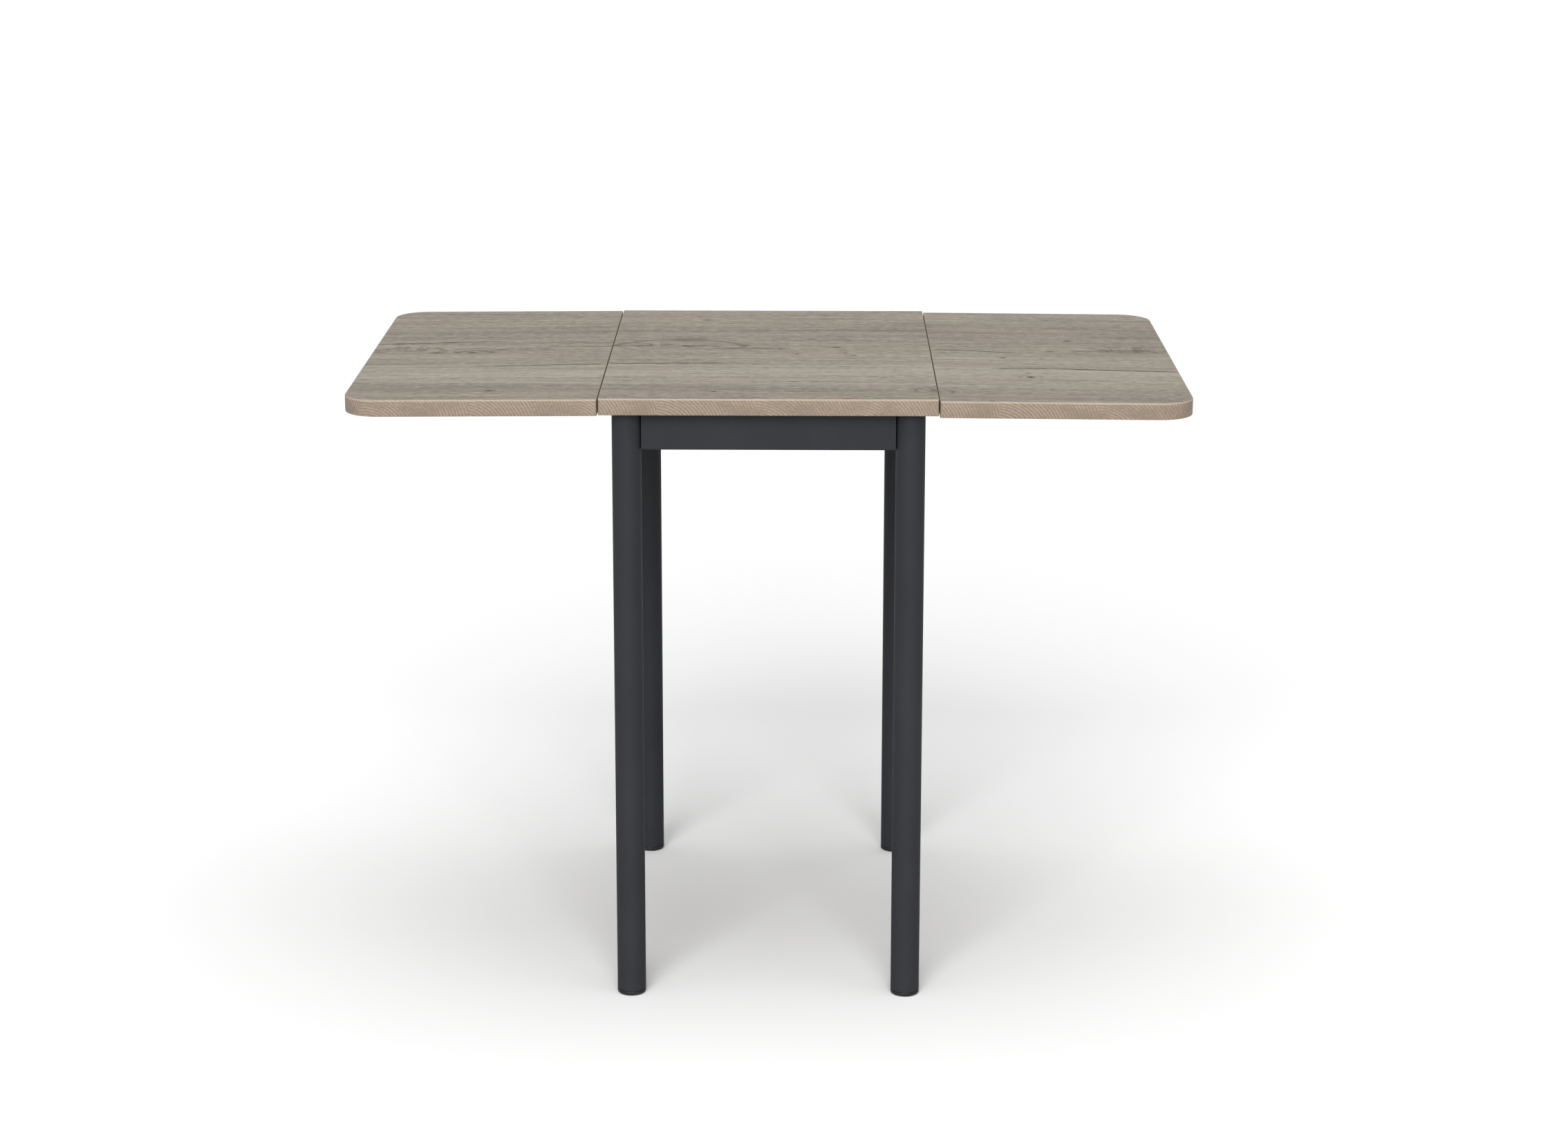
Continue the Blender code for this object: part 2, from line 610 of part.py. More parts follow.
main()
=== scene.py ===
"""Drop-leaf table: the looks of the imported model.

A centre board on four round steel legs, with a leaf hinged at each end on a folding support arm.
Everything is in metres: X along the table, Y from front to back, Z up from the floor.
Points on a side of the table are written (u, y, w) in that side's own frame: u outwards, w up.
"""

import json
from math import atan2, pi, radians

import bmesh
import bpy
import numpy as np
from mathutils import Matrix


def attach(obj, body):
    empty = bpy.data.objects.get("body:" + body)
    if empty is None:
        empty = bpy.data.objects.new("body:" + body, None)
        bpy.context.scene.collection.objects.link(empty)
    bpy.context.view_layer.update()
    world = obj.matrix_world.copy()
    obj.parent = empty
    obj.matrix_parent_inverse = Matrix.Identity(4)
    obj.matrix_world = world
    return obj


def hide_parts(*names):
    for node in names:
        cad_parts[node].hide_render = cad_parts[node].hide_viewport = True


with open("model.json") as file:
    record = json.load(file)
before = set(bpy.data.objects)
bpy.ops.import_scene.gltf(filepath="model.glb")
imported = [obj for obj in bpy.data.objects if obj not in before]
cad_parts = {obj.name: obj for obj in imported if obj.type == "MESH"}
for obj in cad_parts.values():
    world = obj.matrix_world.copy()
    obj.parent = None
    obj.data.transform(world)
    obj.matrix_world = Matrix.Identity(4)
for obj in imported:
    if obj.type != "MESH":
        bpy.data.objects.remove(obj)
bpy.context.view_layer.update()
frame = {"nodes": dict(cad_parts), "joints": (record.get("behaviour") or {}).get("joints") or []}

bl_info = {
    "name": "Drop-leaf Table",
    "version": (1, 0, 0),
    "blender": (4, 5, 0),
    "location": "3D View > Sidebar > Table",
    "description": "Builds the boards, steel frame and fittings of a drop-leaf table",
    "category": "Add Mesh",
}

NODES = frame["nodes"]
JOINTS = {joint["name"]: joint for joint in frame["joints"]}
SIDES = {"left": -1.0, "right": 1.0}
ENDS = {"front": -1.0, "back": 1.0}
CORNERS = [(side, end) for side in SIDES for end in ENDS]
HAIR = 0.00002  # between a fixing and what it is screwed to
TUBE_WALL = 0.0015
CORNER_SHEET = 0.0025  # the corner brackets' thickness
ARM_BRACKET_SHEET = 0.002
CATCH_SHEET = 0.0008


# Places


def span(points):
    """Lowest and highest corners of points."""
    return points.min(axis=0), points.max(axis=0)


def node_points(node):
    """All of a CAD node's points, in the table's frame."""
    mesh = NODES[node].data
    points = np.empty(len(mesh.vertices) * 3)
    mesh.vertices.foreach_get("co", points)
    return points.reshape(-1, 3)


class Place:
    """A side's frame: its origin, the side it faces, and how far it is turned below level."""

    def __init__(self, origin, side, tilt=0.0):
        self.origin = np.array(origin, dtype=float)
        c, s = np.cos(tilt), np.sin(tilt)
        facing = np.diag([SIDES[side], SIDES[side], 1.0])
        self.turn = facing @ np.array([[c, 0.0, s], [0.0, 1.0, 0.0], [-s, 0.0, c]])

    def out(self, points):
        """Points of this frame, in the table's frame."""
        return np.asarray(points, dtype=float) @ self.turn.T + self.origin

    def into(self, points):
        """Points of the table's frame, in this frame."""
        return (np.asarray(points, dtype=float) - self.origin) @ self.turn

    def box(self, node):
        """Lowest and highest corners of a CAD node in this frame."""
        return span(self.into(node_points(node)))


TABLE = Place((0.0, 0.0, 0.0), "right")


def leaf_place(side):
    """The leaf's frame: on its hinge axis and turned with the leaf, which stays just below level."""
    joint = JOINTS[f"{side}_leaf_fold"]
    return Place(joint["pos_m"], side, pi / 2 - radians(joint["range_deg"][1]))


def fixings_place(side):
    """The frame of what is fixed beside the leaf's hinge axis."""
    return Place(JOINTS[f"{side}_leaf_fold"]["pos_m"], side)


def arm_place(side):
    """The arm's frame: on its pivot, with u along the arm to its glide."""
    pivot = np.array(JOINTS[f"{side}_arm_fold"]["pos_m"])
    low, high = TABLE.box(f"{side}_arm_glide_pin")
    run = (low + high) / 2 - pivot
    return Place(pivot, side, -atan2(run[2], abs(run[0])))


# Surfaces


def arc(start, end, count):
    """Angles from start to end, both included."""
    return np.linspace(start, end, count)


def circle_points(radius, count):
    """A closed circle in two coordinates: the last point repeats the first."""
    angles = arc(0.0, 2 * pi, count + 1)
    return np.stack([radius * np.cos(angles), radius * np.sin(angles)], axis=-1)


def plan_outline(low, high, radii, corner_steps, spacing):
    """Closed outline of a rectangle with its own radius at each corner, counter-clockwise.

    Each corner is a quarter circle about a centre one radius in from both sides, and each straight is
    divided evenly. Returns the points, their outward normals and the length walked to each point.
    """
    centres = [
        (low[0] + radii[0], low[1] + radii[0]),
        (high[0] - radii[1], low[1] + radii[1]),
        (high[0] - radii[2], high[1] - radii[2]),
        (low[0] + radii[3], high[1] - radii[3]),
    ]
    points, normals = [], []
    for i, (centre, radius) in enumerate(zip(centres, radii)):
        angles = arc(pi + i * pi / 2, pi * 1.5 + i * pi / 2, corner_steps)
        facing = np.stack([np.cos(angles), np.sin(angles)], axis=-1)
        points.append(np.array(centre) + radius * facing)
        normals.append(facing)
    ring, facing = [], []
    for i in range(4):
        start, end = points[i][-1], points[(i + 1) % 4][0]
        steps = max(int(np.linalg.norm(end - start) / spacing), 1)
        share = np.linspace(0.0, 1.0, steps + 1)[1:-1, None]
        ring += [points[i], start + (end - start) * share]
        facing += [normals[i], np.repeat(normals[i][-1:], len(share), axis=0)]
    ring = np.concatenate(ring + [points[0][:1]])
    facing = np.concatenate(facing + [normals[0][:1]])
    walked = np.concatenate([[0.0], np.cumsum(np.linalg.norm(np.diff(ring, axis=0), axis=1))])
    return ring, facing, walked


def turned_grid(profile, count):
    """Surface of revolution about w: each (radius, height) of the profile goes round in a circle."""
    profile = np.asarray(profile, dtype=float)
    circle = circle_points(1.0, count)
    grid = np.empty((len(profile), count + 1, 3))
    grid[..., :2] = profile[:, None, :1] * circle[None]
    grid[..., 2] = profile[:, None, 1]
    return grid


def carried_grid(path, section, reference):
    """A section carried along a path: path + a * normal + b * (tangent x normal).

    The normal is the reference direction, one for all or one for each point of the path, less its share
    along the path. A section of shape (rows, points, 2) gives each point of the path its own row.
    """
    path = np.asarray(path, dtype=float)
    tangent = np.gradient(path, axis=0)
    tangent /= np.linalg.norm(tangent, axis=1, keepdims=True)
    reference = np.broadcast_to(reference, path.shape)
    normal = reference - tangent * np.sum(tangent * reference, axis=1, keepdims=True)
    normal /= np.linalg.norm(normal, axis=1, keepdims=True)
    across = np.cross(tangent, normal)
    section = np.broadcast_to(section, (len(path),) + section.shape[-2:])
    return (
        path[:, None]
        + section[..., :1] * normal[:, None]
        + section[..., 1:] * across[:, None]
    )


def wire_grid(path, radius, start, end, count=12):
    """A round wire along a path, whose reference direction leans evenly from start to end.

    Its ends are domes: the radius falls as a quarter circle. The path's two points at each end make
    room for them.
    """
    angles = arc(0.0, pi / 2, 5)[:-1]
    dome = np.sin(angles)
    reach = radius * (1.0 - np.cos(angles))[:, None]
    ahead, behind = path[1] - path[0], path[-1] - path[-2]
    first = path[0] + ahead / np.linalg.norm(ahead) * reach
    last = path[-1] - behind / np.linalg.norm(behind) * reach
    path = np.concatenate([first, path[2:-2], last[::-1]])
    scale = np.concatenate([dome, np.ones(len(path) - 2 * len(dome)), dome[::-1]])
    section = scale[:, None, None] * circle_points(radius, count)[None]
    share = np.linspace(0.0, 1.0, len(path))[:, None]
    return carried_grid(path, section, (1.0 - share) * start + share * end)


def new_object(name, data):
    """An object that shows the data, in the scene."""
    obj = bpy.data.objects.new(name, data)
    bpy.context.scene.collection.objects.link(obj)
    return obj


def grid_mesh(name, grids):
    """A mesh from grids of points, and its faces: neighbours in a grid make a four-sided face."""
    points, faces, offset = [], [], 0
    for grid in grids:
        rows, columns = grid.shape[:2]
        index = np.arange(rows * columns).reshape(rows, columns) + offset
        corners = (index[:-1, :-1], index[:-1, 1:], index[1:, 1:], index[1:, :-1])
        faces.append(np.stack(corners, axis=-1).reshape(-1, 4))
        points.append(grid.reshape(-1, 3))
        offset += rows * columns
    faces = np.concatenate(faces)
    mesh = bpy.data.meshes.new(name)
    mesh.from_pydata(np.concatenate(points).tolist(), [], faces.tolist())
    return mesh, faces


def piece(name, grids, finishes, body, replaces=(), bands=None, walked=None, sharp=35.0):
    """A finished object from grids of points, joined where they meet.

    The bands give each row of faces its material, and walked gives the rows' and columns' lengths for
    the UV map.
    """
    mesh, faces = grid_mesh(name, grids)
    for finish in finishes:
        mesh.materials.append(finish)
    if bands is not None:
        columns = grids[0].shape[1] - 1
        mesh.polygons.foreach_set("material_index", np.repeat(bands, columns).astype(np.int32))
    if walked is not None:
        along, up = np.meshgrid(walked[1], walked[0])
        flat = np.stack([along, up], axis=-1).reshape(-1, 2)
        mesh.uv_layers.new(name="Edge").data.foreach_set("uv", flat[faces.reshape(-1)].reshape(-1))
    weld(mesh)
    mesh.shade_smooth()
    mesh.set_sharp_from_angle(angle=radians(sharp))
    obj = new_object(name, mesh)
    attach(obj, body)
    if replaces:
        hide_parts(*replaces)
    return obj


def weld(mesh, distance=1e-6):
    """Joins points that lie together, drops faces with no area and turns every face outwards."""
    bm = bmesh.new()
    bm.from_mesh(mesh)
    bmesh.ops.remove_doubles(bm, verts=bm.verts, dist=distance)
    bmesh.ops.dissolve_degenerate(bm, edges=bm.edges, dist=distance / 10)
    bmesh.ops.recalc_face_normals(bm, faces=bm.faces)
    bm.to_mesh(mesh)
    bm.free()
    mesh.update()


def softened(node, finish, body, width):
    """A CAD node's shape, merged and with its sharp edges rounded over, standing for the node."""
    name = f"{node}_worked"
    mesh = NODES[node].data.copy()
    mesh.name = name
    mesh.materials.clear()
    mesh.materials.append(finish)
    bm = bmesh.new()
    bm.from_mesh(mesh)
    bmesh.ops.remove_doubles(bm, verts=bm.verts, dist=2e-6)
    bmesh.ops.dissolve_limit(bm, angle_limit=radians(0.6), verts=bm.verts, edges=bm.edges)
    bmesh.ops.recalc_face_normals(bm, faces=bm.faces)
    for face in bm.faces:
        face.smooth = True
        face.material_index = 0
    bm.to_mesh(mesh)
    bm.free()
    obj = new_object(name, mesh)
    bevel = obj.modifiers.new("Rounded edges", "BEVEL")
    bevel.width = width
    bevel.segments = 2
    bevel.limit_method = "ANGLE"
    bevel.angle_limit = radians(35)
    bevel.harden_normals = True
    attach(obj, body)
    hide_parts(node)
    return obj


# Shader maths


def maths_node(operation):
    """A method that adds a Math node, with its own number first."""
    return lambda number, *others: number.finish.maths(operation, number, *others)


class Number:
    """A number in a material's nodes. Python's operators on it add Math nodes."""

    def __init__(self, finish, socket):
        self.finish = finish
        self.socket = socket

    def __rsub__(self, other):
        return self.finish.maths("SUBTRACT", other, self)

    __add__ = __radd__ = maths_node("ADD")
    __sub__ = maths_node("SUBTRACT")
    __mul__ = __rmul__ = maths_node("MULTIPLY")
    __truediv__ = maths_node("DIVIDE")
    __pow__ = maths_node("POWER")
    __abs__ = maths_node("ABSOLUTE")


class Finish:
    """A material in the making: a Principled shader and the nodes that drive it."""

    def __init__(self, name, **constants):
        self.material = bpy.data.materials.new(name)
        self.material.use_nodes = True
        self.tree = self.material.node_tree
        self.shader = self.tree.nodes["Principled BSDF"]
        for socket, value in constants.items():
            self.shader.inputs[socket.replace("_", " ")].default_value = value
        self.heights = None

    def node(self, kind, settings=None, sockets=None):
        """A node of that type, with its settings made first and then its sockets filled or linked."""
        node = self.tree.nodes.new(kind)
        for name, value in (settings or {}).items():
            if name == "stops":
                self.stops(node.color_ramp, value)
            else:
                setattr(node, name, value)
        for name, value in (sockets or {}).items():
            self.plug(value, node.inputs[name])
        return node

    def stops(self, ramp, stops):
        """Sets a colour ramp's stops, each a place and a grey level or colour."""
        while len(ramp.elements) < len(stops):
            ramp.elements.new(1.0)
        for element, (place, colour) in zip(ramp.elements, stops):
            element.position = place
            element.color = (*colour, 1.0) if isinstance(colour, tuple) else (colour,) * 3 + (1.0,)

    def plug(self, value, socket):
        """Links a number or an output socket, or sets a plain value."""
        if isinstance(value, Number):
            value = value.socket
        if isinstance(value, bpy.types.NodeSocket):
            self.tree.links.new(value, socket)
        elif isinstance(value, tuple) and len(value) == 3 and socket.type == "RGBA":
            socket.default_value = (*value, 1.0)
        else:
            socket.default_value = value

    def maths(self, operation, *values, clamp=False):
        settings = {"operation": operation, "use_clamp": clamp}
        return Number(self, self.node("ShaderNodeMath", settings, dict(enumerate(values))).outputs[0])

    def step(self, value, low, high):
        """0 below low, 1 above high and smooth between them. The ends may be the other way round."""
        sockets = {"Value": value, 1: low, 2: high, 3: 0.0, 4: 1.0}
        if low > high:
            sockets.update({1: high, 2: low, 3: 1.0, 4: 0.0})
        settings = {"interpolation_type": "SMOOTHSTEP", "clamp": True}
        return Number(self, self.node("ShaderNodeMapRange", settings, sockets).outputs[0])

    def axes(self, vector):
        split = self.node("ShaderNodeSeparateXYZ", sockets={0: vector})
        return [Number(self, output) for output in split.outputs]

    def place(self):
        """The point's x, y and z on the finished object."""
        return self.axes(self.node("ShaderNodeTexCoord").outputs["Object"])

    def edge_place(self):
        """How far the point is along the edge, and how far over it, from the UV map."""
        return self.axes(self.node("ShaderNodeUVMap", {"uv_map": "Edge"}).outputs["UV"])[:2]

    def noise(self, x, y, z=0.0, detail=2.0, rough=0.5):
        """Smooth noise around 0.5 whose cells are one unit across."""
        vector = self.node("ShaderNodeCombineXYZ", sockets={0: x, 1: y, 2: z}).outputs[0]
        sockets = {"Vector": vector, "Scale": 1.0, "Detail": detail, "Roughness": rough}
        return Number(self, self.node("ShaderNodeTexNoise", sockets=sockets).outputs["Fac"])

    def ramp(self, value, stops):
        """A colour ramp's colour at that value, eased from stop to stop."""
        node = self.node("ShaderNodeValToRGB", {"stops": stops}, {0: value})
        node.color_ramp.interpolation = "EASE"
        return node.outputs[0]

    def mix(self, share, first, second, blend="MIX"):
        """A colour between two, or the second blended over the first."""
        settings = {"data_type": "RGBA", "blend_type": blend, "clamp_result": False}
        sockets = {0: share, 6: first, 7: second}
        return self.node("ShaderNodeMix", settings, sockets).outputs[2]

    def most(self, *values):
        """The greatest of the numbers, of which the first may be missing."""
        values = [value for value in values if value is not None]
        greatest = values[0]
        for value in values[1:]:
            greatest = self.maths("MAXIMUM", greatest, value)
        return greatest

    def grey(self, value):
        """A number as a grey colour, for blending over another colour."""
        sockets = {0: value, 1: value, 2: value}
        return self.node("ShaderNodeCombineColor", sockets=sockets).outputs[0]

    def bump(self, height, distance):
        """Adds relief: a height of 1 stands that distance proud."""
        sockets = {"Height": height, "Distance": distance, "Strength": 1.0}
        if self.heights:
            sockets["Normal"] = self.heights
        self.heights = self.node("ShaderNodeBump", sockets=sockets).outputs[0]
        self.plug(self.heights, self.shader.inputs["Normal"])

    def done(self, colour, roughness, height=None, distance=0.0):
        """The material, with that colour and roughness, and with that relief if there is one."""
        self.plug(colour, self.shader.inputs["Base Color"])
        self.plug(roughness, self.shader.inputs["Roughness"])
        if height is not None:
            self.bump(height, distance)
        return self.material


# Sizes and colours that a user would change


def vector_setting(name, description, default, subtype="COLOR"):
    """A colour, or another setting of three numbers."""
    return bpy.props.FloatVectorProperty(
        name=name, description=description, default=default, subtype=subtype
    )


def number_setting(name, description, default, **kind):
    """One number, whose kind is its unit or its subtype."""
    return bpy.props.FloatProperty(name=name, description=description, default=default, **kind)


class BoardSettings(bpy.types.PropertyGroup):
    """The three boards and their oak decor."""

    arris: number_setting("Arris", "Rounding of the edging's two edges", 0.0013, unit="LENGTH")
    seam_arris: number_setting("Seam arris", "Rounding along the seams", 0.0005, unit="LENGTH")
    grey: vector_setting("Weathered oak", "Darker tone", (0.184, 0.162, 0.137))
    pale: vector_setting("Pale oak", "Lighter tone", (0.384, 0.352, 0.298))
    crack: vector_setting("Cracks and knots", "Darkest tone", (0.050, 0.040, 0.033))
    edging: vector_setting("Edging", "Sawn-end decor", (0.214, 0.162, 0.115))
    edging_line: vector_setting("Edging rings", "Its growth rings", (0.372, 0.303, 0.230))
    backing: vector_setting("Backing", "Sheet under the boards", (0.30, 0.262, 0.215))


class SteelSettings(bpy.types.PropertyGroup):
    """The powder-coated frame, its feet and the fittings."""

    coat: vector_setting("Powder coat", "Legs and rails", (0.0268, 0.0280, 0.0320))
    plastic: vector_setting("Feet", "Moulded plastic", (0.0165, 0.0172, 0.0190))
    zinc: vector_setting("Zinc plate", "Hinges and screws", (0.56, 0.57, 0.58))
    spring: vector_setting("Spring steel", "Springs and pins", (0.34, 0.335, 0.33))
    nylon: vector_setting("Nylon", "Glides", (0.74, 0.72, 0.66))
    worn_edge: number_setting("Edge rounding", "On sheet-metal fittings", 0.00022, unit="LENGTH")
    screw_head: number_setting("Screw head", "Radius of a screw's head", 0.0034, unit="LENGTH")


class StageSettings(bpy.types.PropertyGroup):
    """The floor, the lights and the camera."""

    floor: vector_setting("Floor", "Pale floor", (0.86, 0.86, 0.86))
    lens: number_setting("Lens", "Focal length for a 36 mm wide sensor, in mm", 77.514)
    camera_place: vector_setting("Camera", "Its place", (0.0405, -4.1760, 1.5337), subtype="XYZ")
    pitch: number_setting("Pitch", "Below level", 0.250015, subtype="ANGLE")
    yaw: number_setting("Yaw", "Towards the right", -0.005627, subtype="ANGLE")
    roll: number_setting("Roll", "About its line of sight", 0.001778, subtype="ANGLE")


# Finishes

# Swells that the grain runs round: x, y, half length, half width, rise, dark heart.
FIGURES = (
    (-0.452, 0.014, 0.040, 0.022, 0.030, 0.35),
    (-0.420, 0.000, 0.018, 0.010, 0.016, 0.8),
    (-0.375, 0.000, 0.012, 0.007, 0.010, 1.0),
    (-0.310, 0.022, 0.034, 0.010, 0.012, 0.4),
    (-0.134, 0.036, 0.036, 0.014, 0.026, 0.0),
    (-0.108, 0.083, 0.050, 0.020, 0.020, 0.5),
    (-0.332, -0.245, 0.010, 0.006, 0.010, 1.0),
    (-0.065, -0.255, 0.006, 0.005, 0.006, 1.0),
    (0.083, 0.032, 0.010, 0.006, 0.008, 0.9),
    (0.011, 0.020, 0.005, 0.004, 0.004, 0.9),
    (0.033, -0.014, 0.004, 0.004, 0.004, 1.0),
    (0.094, -0.004, 0.004, 0.004, 0.004, 0.9),
    (0.104, -0.023, 0.006, 0.004, 0.005, 1.0),
    (0.290, -0.022, 0.006, 0.005, 0.006, 0.9),
    (0.317, -0.146, 0.009, 0.010, 0.010, 1.0),
    (0.316, -0.122, 0.005, 0.005, 0.005, 0.7),
    (0.378, 0.097, 0.007, 0.007, 0.007, 0.8),
    (0.352, 0.024, 0.010, 0.008, 0.010, 0.8),
    (0.455, 0.022, 0.060, 0.026, 0.036, 0.3),
    (0.197, -0.245, 0.016, 0.020, 0.016, 0.6),
    (-0.085, 0.225, 0.010, 0.018, 0.008, 0.4),
)

# Growth rings drawn round an eye in the grain: x, y, half length, half width and darkness.
EYES = (
    (-0.134, 0.036, 0.031, 0.0115, 1.0),
    (-0.086, 0.033, 0.018, 0.0105, 0.8),
    (-0.115, 0.040, 0.080, 0.0430, 0.8),
    (-0.462, 0.018, 0.026, 0.0120, 0.8),
    (-0.455, 0.014, 0.044, 0.0240, 0.7),
    (-0.372, 0.000, 0.022, 0.0110, 0.8),
    (-0.310, 0.020, 0.030, 0.0100, 0.7),
    (0.402, 0.022, 0.020, 0.0080, 0.7),
    (0.428, 0.022, 0.030, 0.0120, 0.6),
    (0.452, 0.021, 0.034, 0.0150, 0.6),
    (0.476, 0.020, 0.036, 0.0165, 0.6),
    (0.317, -0.146, 0.014, 0.0130, 0.5),
    (0.197, -0.245, 0.022, 0.0240, 0.6),
)

# Drying cracks: where each starts and ends (x, y), and its half width.
CRACKS = (
    ((-0.500, 0.058), (-0.345, 0.078), 0.0040),
    ((-0.352, -0.092), (-0.205, -0.079), 0.0034),
    ((-0.205, -0.080), (-0.055, -0.074), 0.0038),
    ((-0.064, 0.026), (0.022, 0.025), 0.0040),
    ((-0.300, 0.036), (-0.150, 0.040), 0.0030),
    ((0.205, 0.027), (0.245, 0.028), 0.0038),
    ((0.240, 0.027), (0.305, 0.012), 0.0034),
    ((0.280, -0.091), (0.345, -0.090), 0.0046),
    ((0.340, -0.090), (0.505, -0.105), 0.0052),
)

# Broad bands across the boards: y and brightness.
BANDS = (
    (-0.300, 0.44),
    (-0.230, 0.36),
    (-0.200, 0.58),
    (-0.145, 0.80),
    (-0.105, 0.74),
    (-0.070, 0.46),
    (-0.030, 0.58),
    (0.030, 0.44),
    (0.105, 0.42),
    (0.150, 0.36),
    (0.210, 0.46),
    (0.300, 0.56),
)


def grain(finish, x, y):
    """The oak's figure: a height whose level lines are the grain, and how dark its knots are.

    The height is y, plus a slow wander, plus a bell-shaped swell for each figure, so level lines bend
    round it or close into an eye.
    """
    wander = finish.noise(x * 1.5, y * 5.0, 3.1, detail=1.0) - 0.5
    ripple = finish.noise(x * 9.0, y * 34.0, 8.4, detail=1.0) - 0.5
    height = y + wander * 0.034 + ripple * 0.0042
    knots = None
    for centre_x, centre_y, half_x, half_y, rise, dark in FIGURES:
        across = (x - centre_x) * (1.0 / half_x)
        up = (y - centre_y) * (1.0 / half_y)
        swell = finish.maths("EXPONENT", 0.0 - (across * across + up * up))
        height = height + swell * rise
        if dark:
            knots = finish.most(knots, swell**3.0 * dark)
    return height, knots


def crack_mask(finish, x, y):
    """1 in a crack: close to its line, which wavers and swells, and between its tapered ends."""
    waver = (finish.noise(x * 26.0, 0.0, 5.0, detail=4.0, rough=0.6) - 0.5) * 0.008
    ragged = (finish.noise(x * 300.0, y * 900.0, 6.0, detail=1.0) - 0.5) * 0.0012
    swell = finish.noise(x * 38.0, 0.0, 8.0) * 1.5 + 0.25
    mask = None
    for (start_x, start_y), (end_x, end_y), half_width in CRACKS:
        slope = (end_y - start_y) / (end_x - start_x)
        off = abs(y - waver + ragged - (x - start_x) * slope - start_y) / swell
        taper = 0.18 * (end_x - start_x)
        along = finish.step(x, start_x - taper, start_x + taper)
        along = along * finish.step(x, end_x + taper, end_x - taper)
        halo = finish.step(off, half_width, half_width * 0.15)
        core = finish.step(off, half_width * 0.45, half_width * 0.10)
        mask = finish.most(mask, (halo * 0.55 + core * 0.45) * along)
    return mask


def eye_mask(finish, x, y):
    """1 on a growth ring round an eye: where the point's pointed ellipse has a radius near 1.

    The radius is |along|^1.5 + across^2. The line wavers, breaks up and is faint on the near side.
    """
    waver = (finish.noise(x * 30.0, y * 60.0, 15.0) - 0.5) * 0.55
    broken = finish.step(finish.noise(x * 60.0, y * 140.0, 17.0, detail=1.0), 0.28, 0.48)
    half_line = 0.0030
    mask = None
    for centre_x, centre_y, half_x, half_y, dark in EYES:
        along = abs((x - centre_x) * (1.0 / half_x))
        across = (y - centre_y) * (1.0 / half_y)
        off = abs(along**1.5 + across * across + waver - 1.0)
        line = finish.step(off, 2.0 * half_line / half_y, 0.4 * half_line / half_y)
        mask = finish.most(mask, line * (finish.step(across, -0.7, 0.2) * 0.7 + 0.3) * dark)
    return mask * broken


def oak_face(colours):
    """Laminate in weathered oak: grain along X that runs on from board to board."""
    finish = Finish("weathered_oak_face", Specular_IOR_Level=0.05)
    x, y, _ = finish.place()
    height, knots = grain(finish, x, y)
    cracks = crack_mask(finish, x, y)
    eyes = eye_mask(finish, x, y)

    depth = BANDS[-1][0] - BANDS[0][0]
    bands = [(place / depth + 0.5, level) for place, level in BANDS]
    broad = Number(finish, finish.ramp(y * (1 / depth) + 0.5, bands))
    wide = finish.noise(x * 1.6, height * 52.0, 1.0, detail=3.0, rough=0.62) - 0.5
    streak = finish.noise(x * 7.0, height * 190.0, 2.0, detail=3.0, rough=0.65) - 0.5
    dash = finish.noise(x * 48.0, height * 360.0, 3.0, detail=3.0, rough=0.7) - 0.5
    fine = finish.noise(x * 60.0, height * 1700.0, 4.0, detail=1.0) - 0.5
    fleck = finish.noise(x * 85.0, height * 165.0, 5.0, detail=3.0, rough=0.75) - 0.5
    tone = broad + wide * 1.2 + streak * 1.25 + dash * 1.9 + fleck * 1.5 + fine * 1.0
    colour = finish.mix(finish.maths("ADD", tone, 0.0, clamp=True), colours.grey[:], colours.pale[:])

    patch = finish.step(finish.noise(x * 5.0, y * 22.0, 12.0), 0.40, 0.68)
    colour = finish.mix(patch * 0.30, colour, (0.330, 0.277, 0.238))

    late = finish.step(finish.noise(x * 3.0, height * 150.0, 6.0, detail=1.0), 0.60, 0.72)
    pores = finish.step(finish.noise(x * 90.0, height * 2300.0, 9.0, detail=1.0), 0.58, 0.68)
    pores = pores * finish.step(finish.noise(x * 7.0, y * 40.0, 4.0), 0.36, 0.56)
    dark = finish.most(late * 0.26, pores * 0.46, knots * 0.9, cracks * 0.95, eyes * 0.60)
    colour = finish.mix(dark, colour, colours.crack[:])
    relief = fine * 0.4 + dash * 0.6 - dark
    return finish.done(colour, 0.62 + fine * 0.16 + dark * 0.12, relief, 0.00010)


